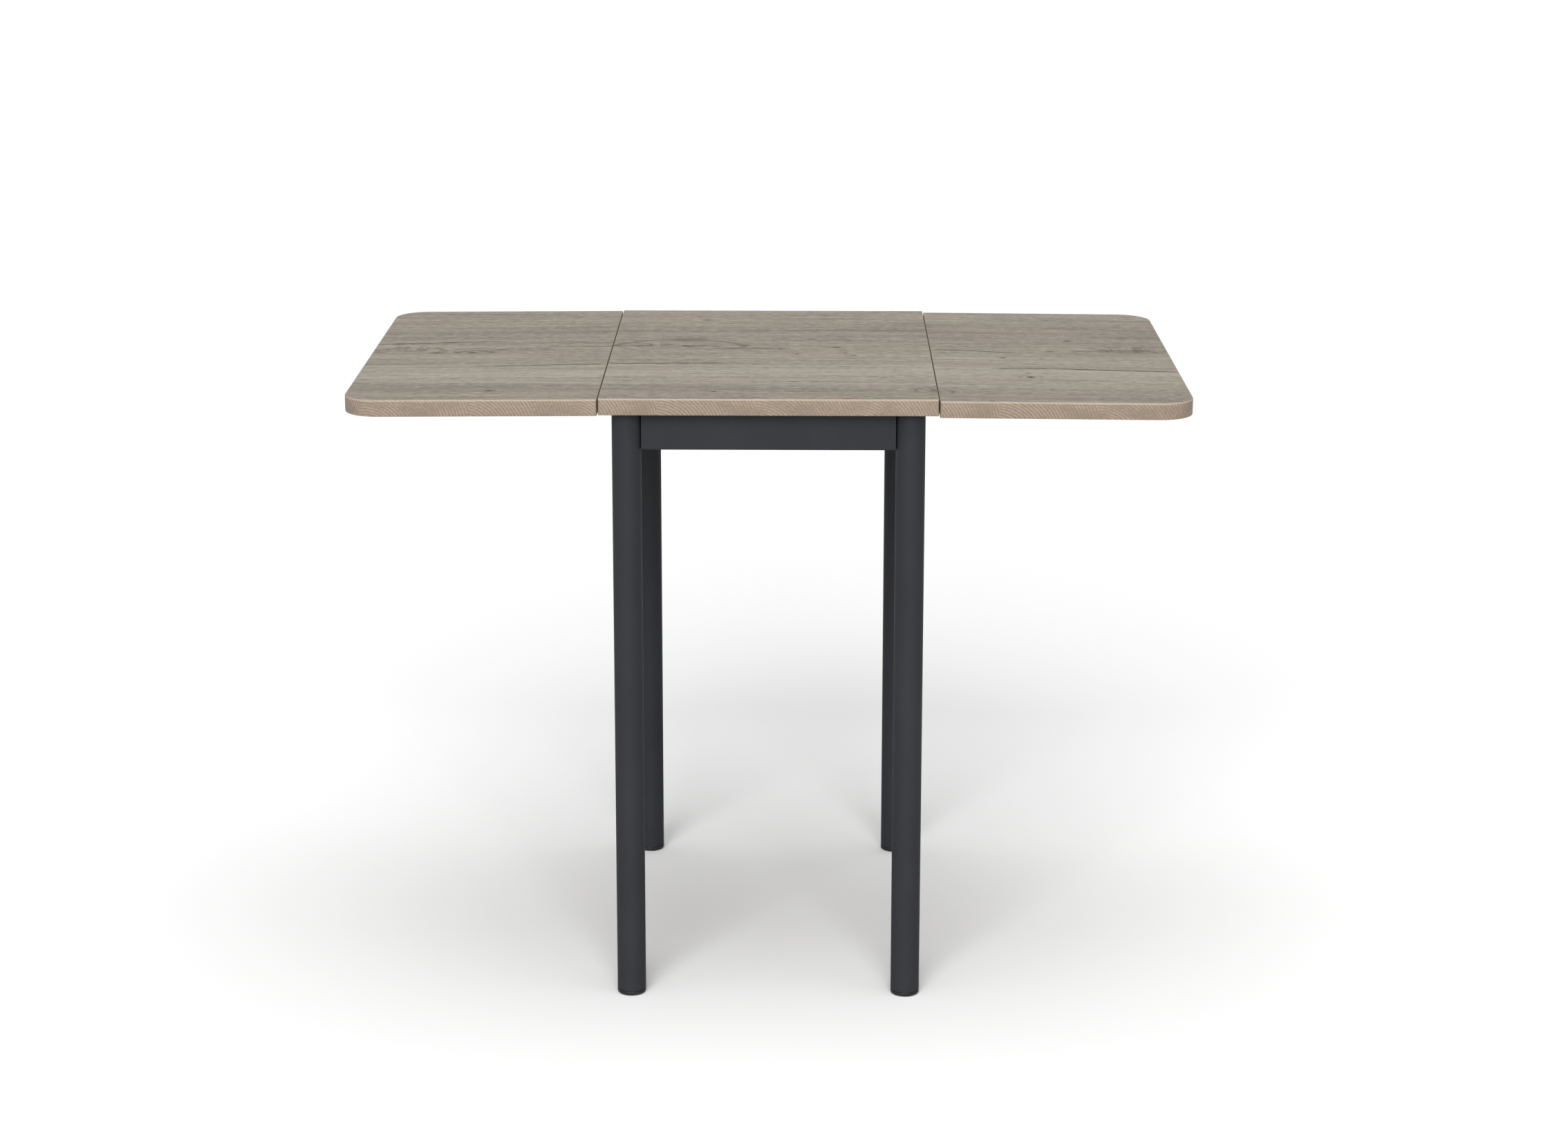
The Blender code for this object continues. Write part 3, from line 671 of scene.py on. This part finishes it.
def oak_edging(colours):
    """Edging with a sawn-end decor: growth rings about hearts that lie below it along the edge."""
    finish = Finish("sawn_oak_edging", Specular_IOR_Level=0.4)
    along, over = finish.edge_place()
    tile_length, ring, pore_row = 0.118, 0.0037, 0.0011
    wobble = finish.noise(along * 22.0, over * 30.0, 2.0, detail=1.0) - 0.5
    tile = along * (1 / tile_length) + 0.43
    cell = finish.maths("FLOOR", tile + wobble * 0.3)
    off = (tile - cell) * tile_length
    depth = finish.noise(cell * 3.7, 0.0, 7.0) * 0.085 + 0.004 - over
    radius = finish.maths("SQRT", off * off + depth * depth) + wobble * 0.0022
    rings = finish.maths("SINE", radius * (2 * pi / ring)) * 0.5 + 0.5
    rows = finish.maths("SINE", radius * (2 * pi / pore_row)) * 0.5 + 0.5
    clear = finish.step(finish.noise(along * 30.0, over * 40.0, 9.0, detail=1.0), 0.34, 0.58)
    fleck = finish.noise(along * 700.0, over * 700.0, 1.0)
    tone = finish.noise(along * 7.0, over * 12.0, 5.0)
    tone = tone + (finish.noise(along * 240.0, over * 300.0, 6.0) - 0.5) * 1.6
    lines = rings**2.2 * (clear * 0.46 + 0.14) + rows * 0.20
    lines = lines * finish.step(fleck, 0.28, 0.56)
    colour = finish.mix(finish.step(tone, 0.0, 1.0), (0.150, 0.113, 0.080), colours.edging[:])
    colour = finish.mix(lines, colour, colours.edging_line[:])
    colour = finish.mix(finish.step(fleck, 0.60, 0.76) * 0.30, colour, (0.150, 0.112, 0.080))
    # Painted highlight: the edging is painted paler over its top arris, where the rounded edge catches
    # the light.
    painted_arris_highlight = finish.step(over, 0.0017, 0.0006)
    colour = finish.mix(painted_arris_highlight * 0.5, colour, (0.420, 0.362, 0.292))
    return finish.done(colour, 0.50 + fleck * 0.12, lines * 0.4 + fleck * 0.3, 0.00008)


def backing_sheet(colours):
    """Plain balancing sheet under the boards, with a faint print of the grain."""
    finish = Finish("oak_backing_sheet", Specular_IOR_Level=0.35)
    x, y, _ = finish.place()
    wander = finish.noise(x * 1.5, y * 5.0, 23.1, detail=1.0) * 0.03
    streak = finish.noise(x * 3.0, (y + wander) * 160.0, 22.0, detail=4.0, rough=0.6)
    speck = finish.noise(x * 900.0, y * 900.0, 2.0, detail=1.0)
    colour = finish.mix(streak, (0.225, 0.195, 0.160), colours.backing[:])
    colour = finish.mix(finish.step(speck, 0.62, 0.72) * 0.15, colour, (0.1, 0.09, 0.08))
    return finish.done(colour, 0.60 + speck * 0.1, speck * 0.5 + streak * 0.5, 0.00005)


def powder_coat(colour):
    """Matt dark powder coat: an orange-peel relief with a fine grain and slight clouding."""
    finish = Finish("dark_powder_coat", Specular_IOR_Level=0.05)
    x, y, z = finish.place()
    cloud = finish.noise(x * 14.0, y * 14.0, z * 9.0, detail=3.0)
    grit = finish.noise(x * 2600.0, y * 2600.0, z * 2600.0, detail=1.0)
    peel = finish.noise(x * 620.0, y * 620.0, z * 620.0)
    tone = (cloud - 0.5) * 0.35 + (grit - 0.5) * 0.5 + 1.0
    colour = finish.mix(1.0, colour[:], finish.grey(tone), "MULTIPLY")
    finish.bump(peel, 0.00007)
    roughness = 0.52 + (peel - 0.5) * 0.10 + (cloud - 0.5) * 0.10
    return finish.done(colour, roughness, grit, 0.00002)


def moulded_plastic(colour):
    """Injection-moulded feet: a fine spark-eroded grain and slight scuffs near the floor."""
    finish = Finish("moulded_black_plastic", Specular_IOR_Level=0.15)
    x, y, z = finish.place()
    grit = finish.noise(x * 1500.0, y * 1500.0, z * 1500.0)
    scuff = finish.noise(x * 90.0, y * 90.0, z * 700.0, detail=3.0)
    scuff = finish.step(scuff, 0.56, 0.74) * finish.step(z, 0.006, 0.0005)
    colour = finish.mix(scuff * 0.5, colour[:], (0.13, 0.13, 0.13))
    return finish.done(colour, 0.42 + scuff * 0.25 + (grit - 0.5) * 0.1, grit, 0.00004)


def zinc_plate(colour):
    """Bright zinc: cloudy passivation, fine rolling lines and a few dull spots."""
    finish = Finish("bright_zinc_plate", Metallic=1.0)
    x, y, z = finish.place()
    cloud = finish.noise(x * 70.0, y * 70.0, z * 70.0, detail=4.0, rough=0.65)
    lines = finish.noise(x * 2600.0, y * 120.0, z * 2600.0, detail=1.0)
    spots = finish.step(finish.noise(x * 480.0, y * 480.0, z * 480.0), 0.66, 0.76)
    tint = finish.mix(cloud, (0.62, 0.58, 0.50), (0.98, 1.0, 1.04))
    base = finish.mix(1.0, colour[:], tint, "MULTIPLY")
    colour = finish.mix(spots * 0.5, base, (0.16, 0.15, 0.14))
    roughness = 0.26 + cloud * 0.16 + spots * 0.3 + (lines - 0.5) * 0.08
    return finish.done(colour, roughness, lines * 0.6 + cloud * 0.4, 0.00003)


def spring_steel(colour):
    """Oiled spring steel: drawing lines and faint heat tints."""
    finish = Finish("oiled_spring_steel", Metallic=1.0)
    x, y, z = finish.place()
    tint = finish.noise(x * 120.0, y * 120.0, z * 120.0, detail=3.0)
    lines = finish.noise(x * 3000.0, y * 900.0, z * 3000.0, detail=1.0)
    colour = finish.mix(tint * 0.6, colour[:], (0.22, 0.19, 0.17))
    return finish.done(colour, 0.24 + tint * 0.14 + (lines - 0.5) * 0.1, lines, 0.00002)


def white_nylon(colour):
    """Moulded nylon: slightly cloudy, with grey rub marks round its running face."""
    finish = Finish("moulded_white_nylon", Subsurface_Weight=0.08, Subsurface_Scale=0.002)
    x, y, z = finish.place()
    cloud = finish.noise(x * 200.0, y * 200.0, z * 200.0, detail=3.0)
    rub = finish.step(finish.noise(x * 900.0, y * 60.0, z * 900.0), 0.55, 0.75)
    colour = finish.mix(rub * 0.35, colour[:], (0.38, 0.37, 0.35))
    return finish.done(colour, 0.36 + cloud * 0.12 + rub * 0.15, cloud, 0.00004)


def floor_paint(colour):
    """Pale seamless floor with a barely seen unevenness."""
    finish = Finish("pale_floor", Specular_IOR_Level=0.2)
    x, y, _ = finish.place()
    cloud = finish.noise(x * 2.0, y * 2.0, detail=3.0)
    return finish.done(finish.mix(cloud * 0.05, colour[:], (0.80, 0.80, 0.80)), 0.72 + cloud * 0.1)


# Pieces


def build_stage(settings):
    """Floor, world light, two soft suns and the camera."""
    radii = np.array([0.0, 0.6, 2.0, 6.0, 20.0, 60.0])
    mesh, _ = grid_mesh("floor", [turned_grid(np.stack([radii, np.zeros_like(radii)], axis=-1), 96)])
    weld(mesh)
    if mesh.polygons[0].normal.z < 0:
        mesh.flip_normals()
    mesh.materials.append(floor_paint(settings.floor))
    floor = new_object("floor", mesh)

    world = bpy.data.worlds.new("studio")
    world.use_nodes = True
    background = world.node_tree.nodes["Background"]
    background.inputs["Color"].default_value = (1.0, 1.0, 1.0, 1.0)
    background.inputs["Strength"].default_value = 0.07
    bpy.context.scene.world = world

    for name, energy, lean, heading, spread in (("key", 3.45, 61, -5, 44), ("top", 2.05, 6, 20, 64)):
        lamp = bpy.data.lights.new(name, "SUN")
        lamp.energy = energy
        lamp.angle = radians(spread)
        obj = new_object(name, lamp)
        obj.rotation_euler = (radians(lean), 0.0, radians(heading))

    camera = bpy.data.cameras.new("camera")
    camera.lens = settings.lens
    camera.sensor_fit = "HORIZONTAL"
    camera.sensor_width = 36.0
    camera.clip_end = 200.0
    obj = new_object("camera", camera)
    aim = Matrix.Rotation(-settings.yaw, 4, "Z") @ Matrix.Rotation(pi / 2 - settings.pitch, 4, "X")
    aim = Matrix.Translation(settings.camera_place) @ aim @ Matrix.Rotation(settings.roll, 4, "Z")
    obj.matrix_world = aim
    bpy.context.scene.camera = obj
    bpy.context.scene.view_settings.view_transform = "Standard"


def board(node, place, radii, settings, finishes, body):
    """A board: the edge's profile carried round the plan outline and closed over both faces.

    A point is the outline's point less an inset along its normal, at the profile's height. The profile
    is a quarter circle, the straight edge and another quarter circle, with a supporting ring on each
    face that keeps the face's shading flat.
    """
    low, high = place.box(node)
    outline, facing, walked = plan_outline(low, high, radii, corner_steps=17, spacing=0.02)
    towards_seam = abs(facing[:, 0]) if node == "centre_top" else np.maximum(-facing[:, 0], 0.0)
    arris = settings.arris + (settings.seam_arris - settings.arris) * towards_seam**4
    ring_inset = 0.0006
    turn = arc(0.0, pi / 2, 7)[:, None]
    inset = arris * (1 - np.sin(turn))
    rise = arris * (1 - np.cos(turn))
    support = arris[None] + ring_inset
    inset = np.concatenate([support, inset, inset[::-1], support])
    flat = np.zeros_like(support)
    level = np.concatenate([low[2] + flat, low[2] + rise, high[2] - rise[::-1], high[2] + flat])
    rows = outline[None] - facing[None] * inset[..., None]
    middle = np.broadcast_to((low[:2] + high[:2]) / 2, (1,) + outline.shape)
    grid = np.empty((len(inset) + 2, len(outline), 3))
    grid[..., :2] = np.concatenate([middle, rows, middle])
    grid[..., 2] = np.concatenate([level[:1], level, level[-1:]])
    over = high[2] - grid[:, 0, 2]
    bands = [2, 2] + [1] * (len(inset) - 3) + [0, 0]
    grids, walked = [place.out(grid)], (over, walked)
    piece(f"{node}_board", grids, finishes, body, [node], bands=bands, walked=walked)


def build_boards(settings):
    """The centre board, whose four corners are as small as the leaves' at the seams, and the leaves."""
    finishes = [oak_face(settings), oak_edging(settings), backing_sheet(settings)]
    seam, _ = corner_radii("right")
    board("centre_top", TABLE, [seam] * 4, settings, finishes, "frame")
    for side in SIDES:
        seam, corner = corner_radii(side)
        radii = [seam, corner, corner, seam]
        board(f"{side}_leaf", leaf_place(side), radii, settings, finishes, f"{side}_leaf_assembly")


def corner_radii(side):
    """A leaf's corner radii at the seam and at its outer end, read from the CAD board.

    A corner's radius is how far from the corner its arc meets the front side.
    """
    points = leaf_place(side).into(node_points(f"{side}_leaf"))
    low, high = span(points)
    edge = points[points[:, 1] < low[1] + 1e-5]
    return edge[:, 0].min() - low[0], high[0] - edge[:, 0].max()


def turned_piece(name, node, profile, count, finish):
    """A surface of revolution on a CAD node's upright axis, standing for the node."""
    low, high = TABLE.box(node)
    grid = turned_grid(profile, count)
    grid[..., :2] += (low[:2] + high[:2]) / 2
    piece(name, [grid], [finish], "frame", [node])


def build_legs_and_rails(settings):
    """Round tubes with rolled ends, and rectangular tubes between them."""
    coat = powder_coat(settings.coat)
    lip, rounding = 0.0003, 0.0025
    bend = arc(0.0, pi / 2, 5)
    quarter = np.stack([np.sin(bend), 1 - np.cos(bend)], axis=-1) * lip
    for side, end in CORNERS:
        node = f"{end}_{side}_leg"
        low, high = TABLE.box(node)
        radius = (high[0] - low[0]) / 2
        bore = radius - TUBE_WALL
        outer = np.stack([radius - lip + quarter[:, 0], low[2] + quarter[:, 1]], axis=-1)
        heights = np.linspace(low[2], high[2], 14)[1:-1]
        body = np.stack([np.full_like(heights, radius), heights], axis=-1)
        top = np.stack([outer[::-1, 0], high[2] - quarter[::-1, 1]], axis=-1)
        inner = np.array([[bore, high[2]], [bore, low[2]], [radius - lip, low[2]]])
        profile = np.concatenate([outer, body, top, inner])
        turned_piece(f"{node}_tube", node, profile, 72, coat)
    for node in ("front_rail", "back_rail", "left_rail", "right_rail"):
        low, high = TABLE.box(node)
        run = 0 if high[0] - low[0] > high[1] - low[1] else 1
        cross = 1 - run
        centre = (low + high) / 2
        half = (high - low)[[cross, 2]] / 2
        outside, inside = (
            plan_outline(cut - half, half - cut, [rounding - cut] * 4, corner_steps=9, spacing=1.0)[0]
            for cut in (0.0, TUBE_WALL)
        )
        ends = [(inside, low), (outside, low), (outside, high), (inside, high), (inside, low)]
        grid = np.empty((len(ends), len(outside), 3))
        for row, (ring, limit) in zip(grid, ends):
            row[:, cross] = centre[cross] + ring[:, 0]
            row[:, 2] = centre[2] + ring[:, 1]
            row[:, run] = limit[run]
        piece(f"{node}_tube", [grid], [coat], "frame", [node])


def build_feet(settings):
    """Plastic caps: a hollowed, rounded tread, a bevelled rim under the tube and a plug inside it."""
    plastic = moulded_plastic(settings.plastic)
    joint, hollow, rim, rounding = 0.0003, 0.0006, 0.0006, 0.003
    plug_gap, plug_bevel = TUBE_WALL + 0.0003, 0.0008
    bend = arc(0.0, pi / 2, 9)
    for side, end in CORNERS:
        node = f"{end}_{side}_foot"
        low, high = TABLE.box(node)
        radius = (high[0] - low[0]) / 2
        top = TABLE.box(f"{end}_{side}_leg")[0][2] - joint
        plug = radius - plug_gap
        profile = [(0.0, hollow), (radius * 0.72, hollow), (radius * 0.74, 0.0)]
        profile += zip(radius - rounding * (1 - np.sin(bend)), rounding * (1 - np.cos(bend)))
        profile += [
            (radius, top - rim),
            (radius - rim / 2, top - rim / 6),
            (radius - rim, top),
            (plug, top),
            (plug, high[2] - plug_bevel),
            (plug - plug_bevel, high[2]),
            (0.0, high[2]),
        ]
        turned_piece(f"{node}_cap", node, profile, 64, plastic)


def screw_grid(radius, recess):
    """A pan head with a cross recess of that share of the usual depth, standing on w = 0.

    Its height falls from the crown with the fourth power of the radius, less the recess: a pit where
    the point is within the slots' half width of either axis and inside the recess's reach.
    """
    reach = np.array([0.0, 0.10, 0.22, 0.34, 0.46, 0.56, 0.64, 0.74, 0.86, 0.95, 1.0]) * radius
    angles = arc(0.0, 2 * pi, 33)
    r, a = np.meshgrid(reach, angles, indexing="ij")
    height = 0.52 * radius * (1 - 0.55 * (r / radius) ** 4)
    across = np.minimum(abs(r * np.sin(a)), abs(r * np.cos(a)))
    pit = (across < 0.115 * radius) & (r < 0.60 * radius)
    height = height - pit * recess * 0.26 * radius * (1 - 0.5 * r / radius)
    top = np.stack([r * np.cos(a), r * np.sin(a), height], axis=-1)
    rim = top[-1:].copy()
    rim[..., 2] = 0.0
    return np.concatenate([top, rim, rim * [0.0, 0.0, 0.0]])


def screws(name, places, facing, radius, finish, body, recess=1.0):
    """Screw heads at those places, standing out along the facing direction.

    Each is turned on by 1.7 radians from the one before, starting from the name's length, so that
    their slots don't line up.
    """
    facing = np.asarray(facing, dtype=float)
    facing = facing / np.linalg.norm(facing)
    side = np.cross(facing, [0.0, 1.0, 0.0] if abs(facing[1]) < 0.9 else [1.0, 0.0, 0.0])
    side /= np.linalg.norm(side)
    other = np.cross(facing, side)
    grids = []
    for i, place in enumerate(places):
        turn = 1.7 * i + len(name)
        first = np.cos(turn) * side + np.sin(turn) * other
        head = screw_grid(radius, recess) @ np.stack([first, np.cross(facing, first), facing])
        grids.append(head + np.asarray(place) + facing * HAIR)
    return piece(name, grids, [finish], body, sharp=28.0)


def build_corner_brackets(settings, zinc):
    """Corner brackets and their bolts, with screws up into the board and into both rails."""
    for side, end in CORNERS:
        for part in ("corner_bracket", "corner_bolt"):
            softened(f"{end}_{side}_{part}", zinc, "frame", settings.worn_edge)
        name = f"{end}_{side}_corner"
        low, high = TABLE.box(f"{name}_bracket")
        inward = np.array([-SIDES[side], -ENDS[end]])
        outer = np.where(inward < 0, high[:2], low[:2])
        near, far = 0.011, 0.029
        reach = high[0] - low[0] - 0.012
        middle = (low[2] + high[2]) / 2
        for part, facing, spots, height in (
            ("board_screws", (0, 0, -1), ((near, far), (far, near)), high[2] - CORNER_SHEET),
            ("side_rail_screw", (inward[0], 0, 0), ((CORNER_SHEET, reach),), middle),
            ("cross_rail_screw", (0, inward[1], 0), ((reach, CORNER_SHEET),), middle),
        ):
            places = [(*(outer + inward * spot), height) for spot in spots]
            screws(f"{name}_{part}", places, facing, settings.screw_head, zinc, "frame")


def build_hinges(settings, zinc, spring):
    """Both plates and the pin of each hinge, with three screws in each plate.

    The screws stand at shares of the plate's length, and at shares of its reach from the hinge axis.
    """
    for side, end in CORNERS:
        name = f"{end}_{side}_hinge"
        leaf_body = f"{side}_leaf_assembly"
        softened(f"{name}_inner_plate", zinc, "frame", settings.worn_edge)
        softened(f"{name}_outer_plate", zinc, leaf_body, settings.worn_edge)
        softened(f"{name}_pin", spring, "frame", settings.worn_edge)
        for part, place, body in (
            ("inner_plate", fixings_place(side), "frame"),
            ("outer_plate", leaf_place(side), leaf_body),
        ):
            points = place.into(node_points(f"{name}_{part}"))
            low, high = span(points)
            edge, stagger = (low[0], 0.0) if part == "inner_plate" else (high[0], 0.12)
            under = points[abs(points[:, 0] - edge) < 1e-4][:, 2].min()
            places = []
            for share, out in ((0.17, 0.70), (0.50, 0.70 + stagger), (0.83, 0.70)):
                places.append((edge * out, low[1] + (high[1] - low[1]) * share, under))
            down = place.out((0, 0, -1)) - place.origin
            head = settings.screw_head * 0.9
            screws(f"{name}_{part}_screws", place.out(places), down, head, zinc, body)


def rounded_path(corners, rounds=3):
    """A path through corners, each cut a quarter of the way along its sides, again and again."""
    path = np.asarray(corners, dtype=float)
    for _ in range(rounds):
        near = path[:-1] * 0.75 + path[1:] * 0.25
        far = path[:-1] * 0.25 + path[1:] * 0.75
        path = np.concatenate([path[:1], np.stack([near, far], axis=1).reshape(-1, 3), path[-1:]])
    return path


def build_spring(side, finish):
    """The arm's torsion spring: a helix round the pivot, a leg on the bracket and a leg under the arm.

    The coil is (r cos t, pitch t, r sin t) about the pivot, and both legs leave it along its tangent at
    the bottom. Its first turn and the leg under the arm turn with the arm.
    """
    place = Place(JOINTS[f"{side}_arm_fold"]["pos_m"], side)
    low, high = place.box(f"{side}_arm_spring")
    wire = 0.0007
    mean = (high[0] - low[0]) / 2 - wire
    first, last = low[1] + wire, high[1] - wire
    second = first + 2 * wire + 2 * HAIR
    turns, steps = 2, 72
    turn = arc(-pi / 2, -pi / 2 - 2 * pi * turns, steps)
    advance = np.linspace(second, last, steps)
    coil = np.stack([mean * np.cos(turn), advance, mean * np.sin(turn)], axis=-1)
    plate = place.box(f"{side}_arm_bracket")[0][0] + ARM_BRACKET_SHEET
    leg = np.linspace((0.0, last, -mean), (plate + wire + HAIR, last, -mean), 8)[1:]
    along_y = np.array([0.0, 1.0, 0.0])
    grid = wire_grid(np.concatenate([coil, leg]), wire, along_y, along_y)
    name = f"{side}_arm_spring"
    piece(f"{name}_coil", [place.out(grid)], [finish], "frame", [name])

    arm = arm_place(side)
    under = arm.box(f"{side}_arm")[0][2] - wire - HAIR
    turn = arc(-pi / 2 - 2 * pi * 0.92, -pi / 2, 36)[:-1]
    ring = np.stack([mean * np.cos(turn), np.full_like(turn, first), mean * np.sin(turn)], axis=-1)
    leave, meet, cross = 0.006, 0.020, 0.023  # how far along the arm the leg turns each time
    corners = [(0.0, first, -mean), (leave, first, -mean)]
    corners += [(meet, first, under), (cross, first, under), (cross, -first, under)]
    path = np.concatenate([ring, rounded_path(corners)])
    grid = wire_grid(path, wire, along_y, np.array([0.0, 0.0, 1.0]))
    piece(f"{name}_leg", [arm.out(grid)], [finish], f"{side}_arm_assembly")


def build_support_arms(settings, coat, zinc, spring, nylon):
    """Each arm with its bracket, pivot, spring, catch and glide."""
    edge = settings.worn_edge
    for side in SIDES:
        arm_body = f"{side}_arm_assembly"
        for part, finish, body, slot in (
            ("arm", coat, arm_body, "dark_steel"),
            ("arm_glide", nylon, arm_body, "white_nylon"),
            ("arm_glide_pin", zinc, arm_body, "zinc_steel"),
            ("arm_bracket", coat, "frame", "dark_steel"),
            ("arm_pivot_bolt", zinc, "frame", "zinc_steel"),
            ("arm_pivot_nut", zinc, "frame", "zinc_steel"),
            ("arm_catch", spring, "frame", "spring_steel"),
        ):
            softened(f"{side}_{part}", finish, body, edge)
        build_spring(side, spring)
        place = fixings_place(side)
        low, high = place.box(f"{side}_arm_bracket")
        surface, middle, across, up = low[0] + ARM_BRACKET_SHEET, low[2] + 0.019, 0.0195, 0.0125
        places = [(surface, y, middle + w) for y in (-across, across) for w in (-up, up)]
        outwards = (SIDES[side], 0, 0)
        name = f"{side}_arm_bracket_screws"
        screws(name, place.out(places), outwards, settings.screw_head, zinc, "frame")
        low, high = place.box(f"{side}_arm_catch")
        places = [(low[0] + CATCH_SHEET, 0.0, high[2] - 0.0050)]
        name, head = f"{side}_arm_catch_rivet", 0.0022
        screws(name, place.out(places), outwards, head, zinc, "frame", recess=0.0)


def build_wear_strips(settings, zinc):
    """Steel strips that the glides run on, with a screw near each end."""
    for side in SIDES:
        node = f"{side}_wear_strip"
        body = f"{side}_leaf_assembly"
        softened(node, zinc, body, settings.worn_edge)
        place = leaf_place(side)
        low, high = place.box(node)
        inset, head = 0.006, 0.0026
        places = [(u, 0.0, low[2]) for u in (low[0] + inset, high[0] - inset)]
        down = place.out((0, 0, -1)) - place.origin
        screws(f"{node}_screws", place.out(places), down, head, zinc, body)


# The add-on


class TABLE_OT_stage(bpy.types.Operator):
    """Adds the floor, the lights and the camera"""

    bl_idname = "table.stage"
    bl_label = "Stage"

    def execute(self, context):
        build_stage(context.scene.table_stage)
        return {"FINISHED"}


class TABLE_OT_boards(bpy.types.Operator):
    """Builds the centre board and both leaves"""

    bl_idname = "table.boards"
    bl_label = "Boards"

    def execute(self, context):
        build_boards(context.scene.table_boards)
        return {"FINISHED"}


class TABLE_OT_legs_and_rails(bpy.types.Operator):
    """Builds the four legs and the four rails"""

    bl_idname = "table.legs_and_rails"
    bl_label = "Legs and rails"

    def execute(self, context):
        build_legs_and_rails(context.scene.table_steel)
        return {"FINISHED"}


class TABLE_OT_feet(bpy.types.Operator):
    """Builds the four plastic feet"""

    bl_idname = "table.feet"
    bl_label = "Feet"

    def execute(self, context):
        build_feet(context.scene.table_steel)
        return {"FINISHED"}


class TABLE_OT_fittings(bpy.types.Operator):
    """Builds the corner brackets, the hinges, the support arms and the wear strips"""

    bl_idname = "table.fittings"
    bl_label = "Fittings"

    def execute(self, context):
        settings = context.scene.table_steel
        zinc = zinc_plate(settings.zinc)
        spring = spring_steel(settings.spring)
        coat = bpy.data.materials["dark_powder_coat"]
        build_corner_brackets(settings, zinc)
        build_hinges(settings, zinc, spring)
        build_support_arms(settings, coat, zinc, spring, white_nylon(settings.nylon))
        build_wear_strips(settings, zinc)
        return {"FINISHED"}


OPERATORS = (
    TABLE_OT_stage,
    TABLE_OT_boards,
    TABLE_OT_legs_and_rails,
    TABLE_OT_feet,
    TABLE_OT_fittings,
)
SETTINGS = {
    "table_boards": BoardSettings,
    "table_steel": SteelSettings,
    "table_stage": StageSettings,
}


class TABLE_PT_panel(bpy.types.Panel):
    """Lists the table's pieces and their settings"""

    bl_idname = "TABLE_PT_panel"
    bl_label = "Drop-leaf Table"
    bl_space_type = "VIEW_3D"
    bl_region_type = "UI"
    bl_category = "Table"

    def draw(self, context):
        for operator in OPERATORS:
            self.layout.operator(operator.bl_idname)
        for name, group in SETTINGS.items():
            box = self.layout.box()
            for setting in group.__annotations__:
                box.prop(getattr(context.scene, name), setting)


def register():
    for group in (*SETTINGS.values(), *OPERATORS, TABLE_PT_panel):
        bpy.utils.register_class(group)
    for name, group in SETTINGS.items():
        setattr(bpy.types.Scene, name, bpy.props.PointerProperty(type=group))


def unregister():
    for name in SETTINGS:
        delattr(bpy.types.Scene, name)
    for group in reversed((*SETTINGS.values(), *OPERATORS, TABLE_PT_panel)):
        bpy.utils.unregister_class(group)


def main():
    register()
    bpy.ops.table.stage()
    bpy.ops.table.boards()
    bpy.ops.table.legs_and_rails()
    bpy.ops.table.feet()
    bpy.ops.table.fittings()


if __name__ == "__main__":
    main()
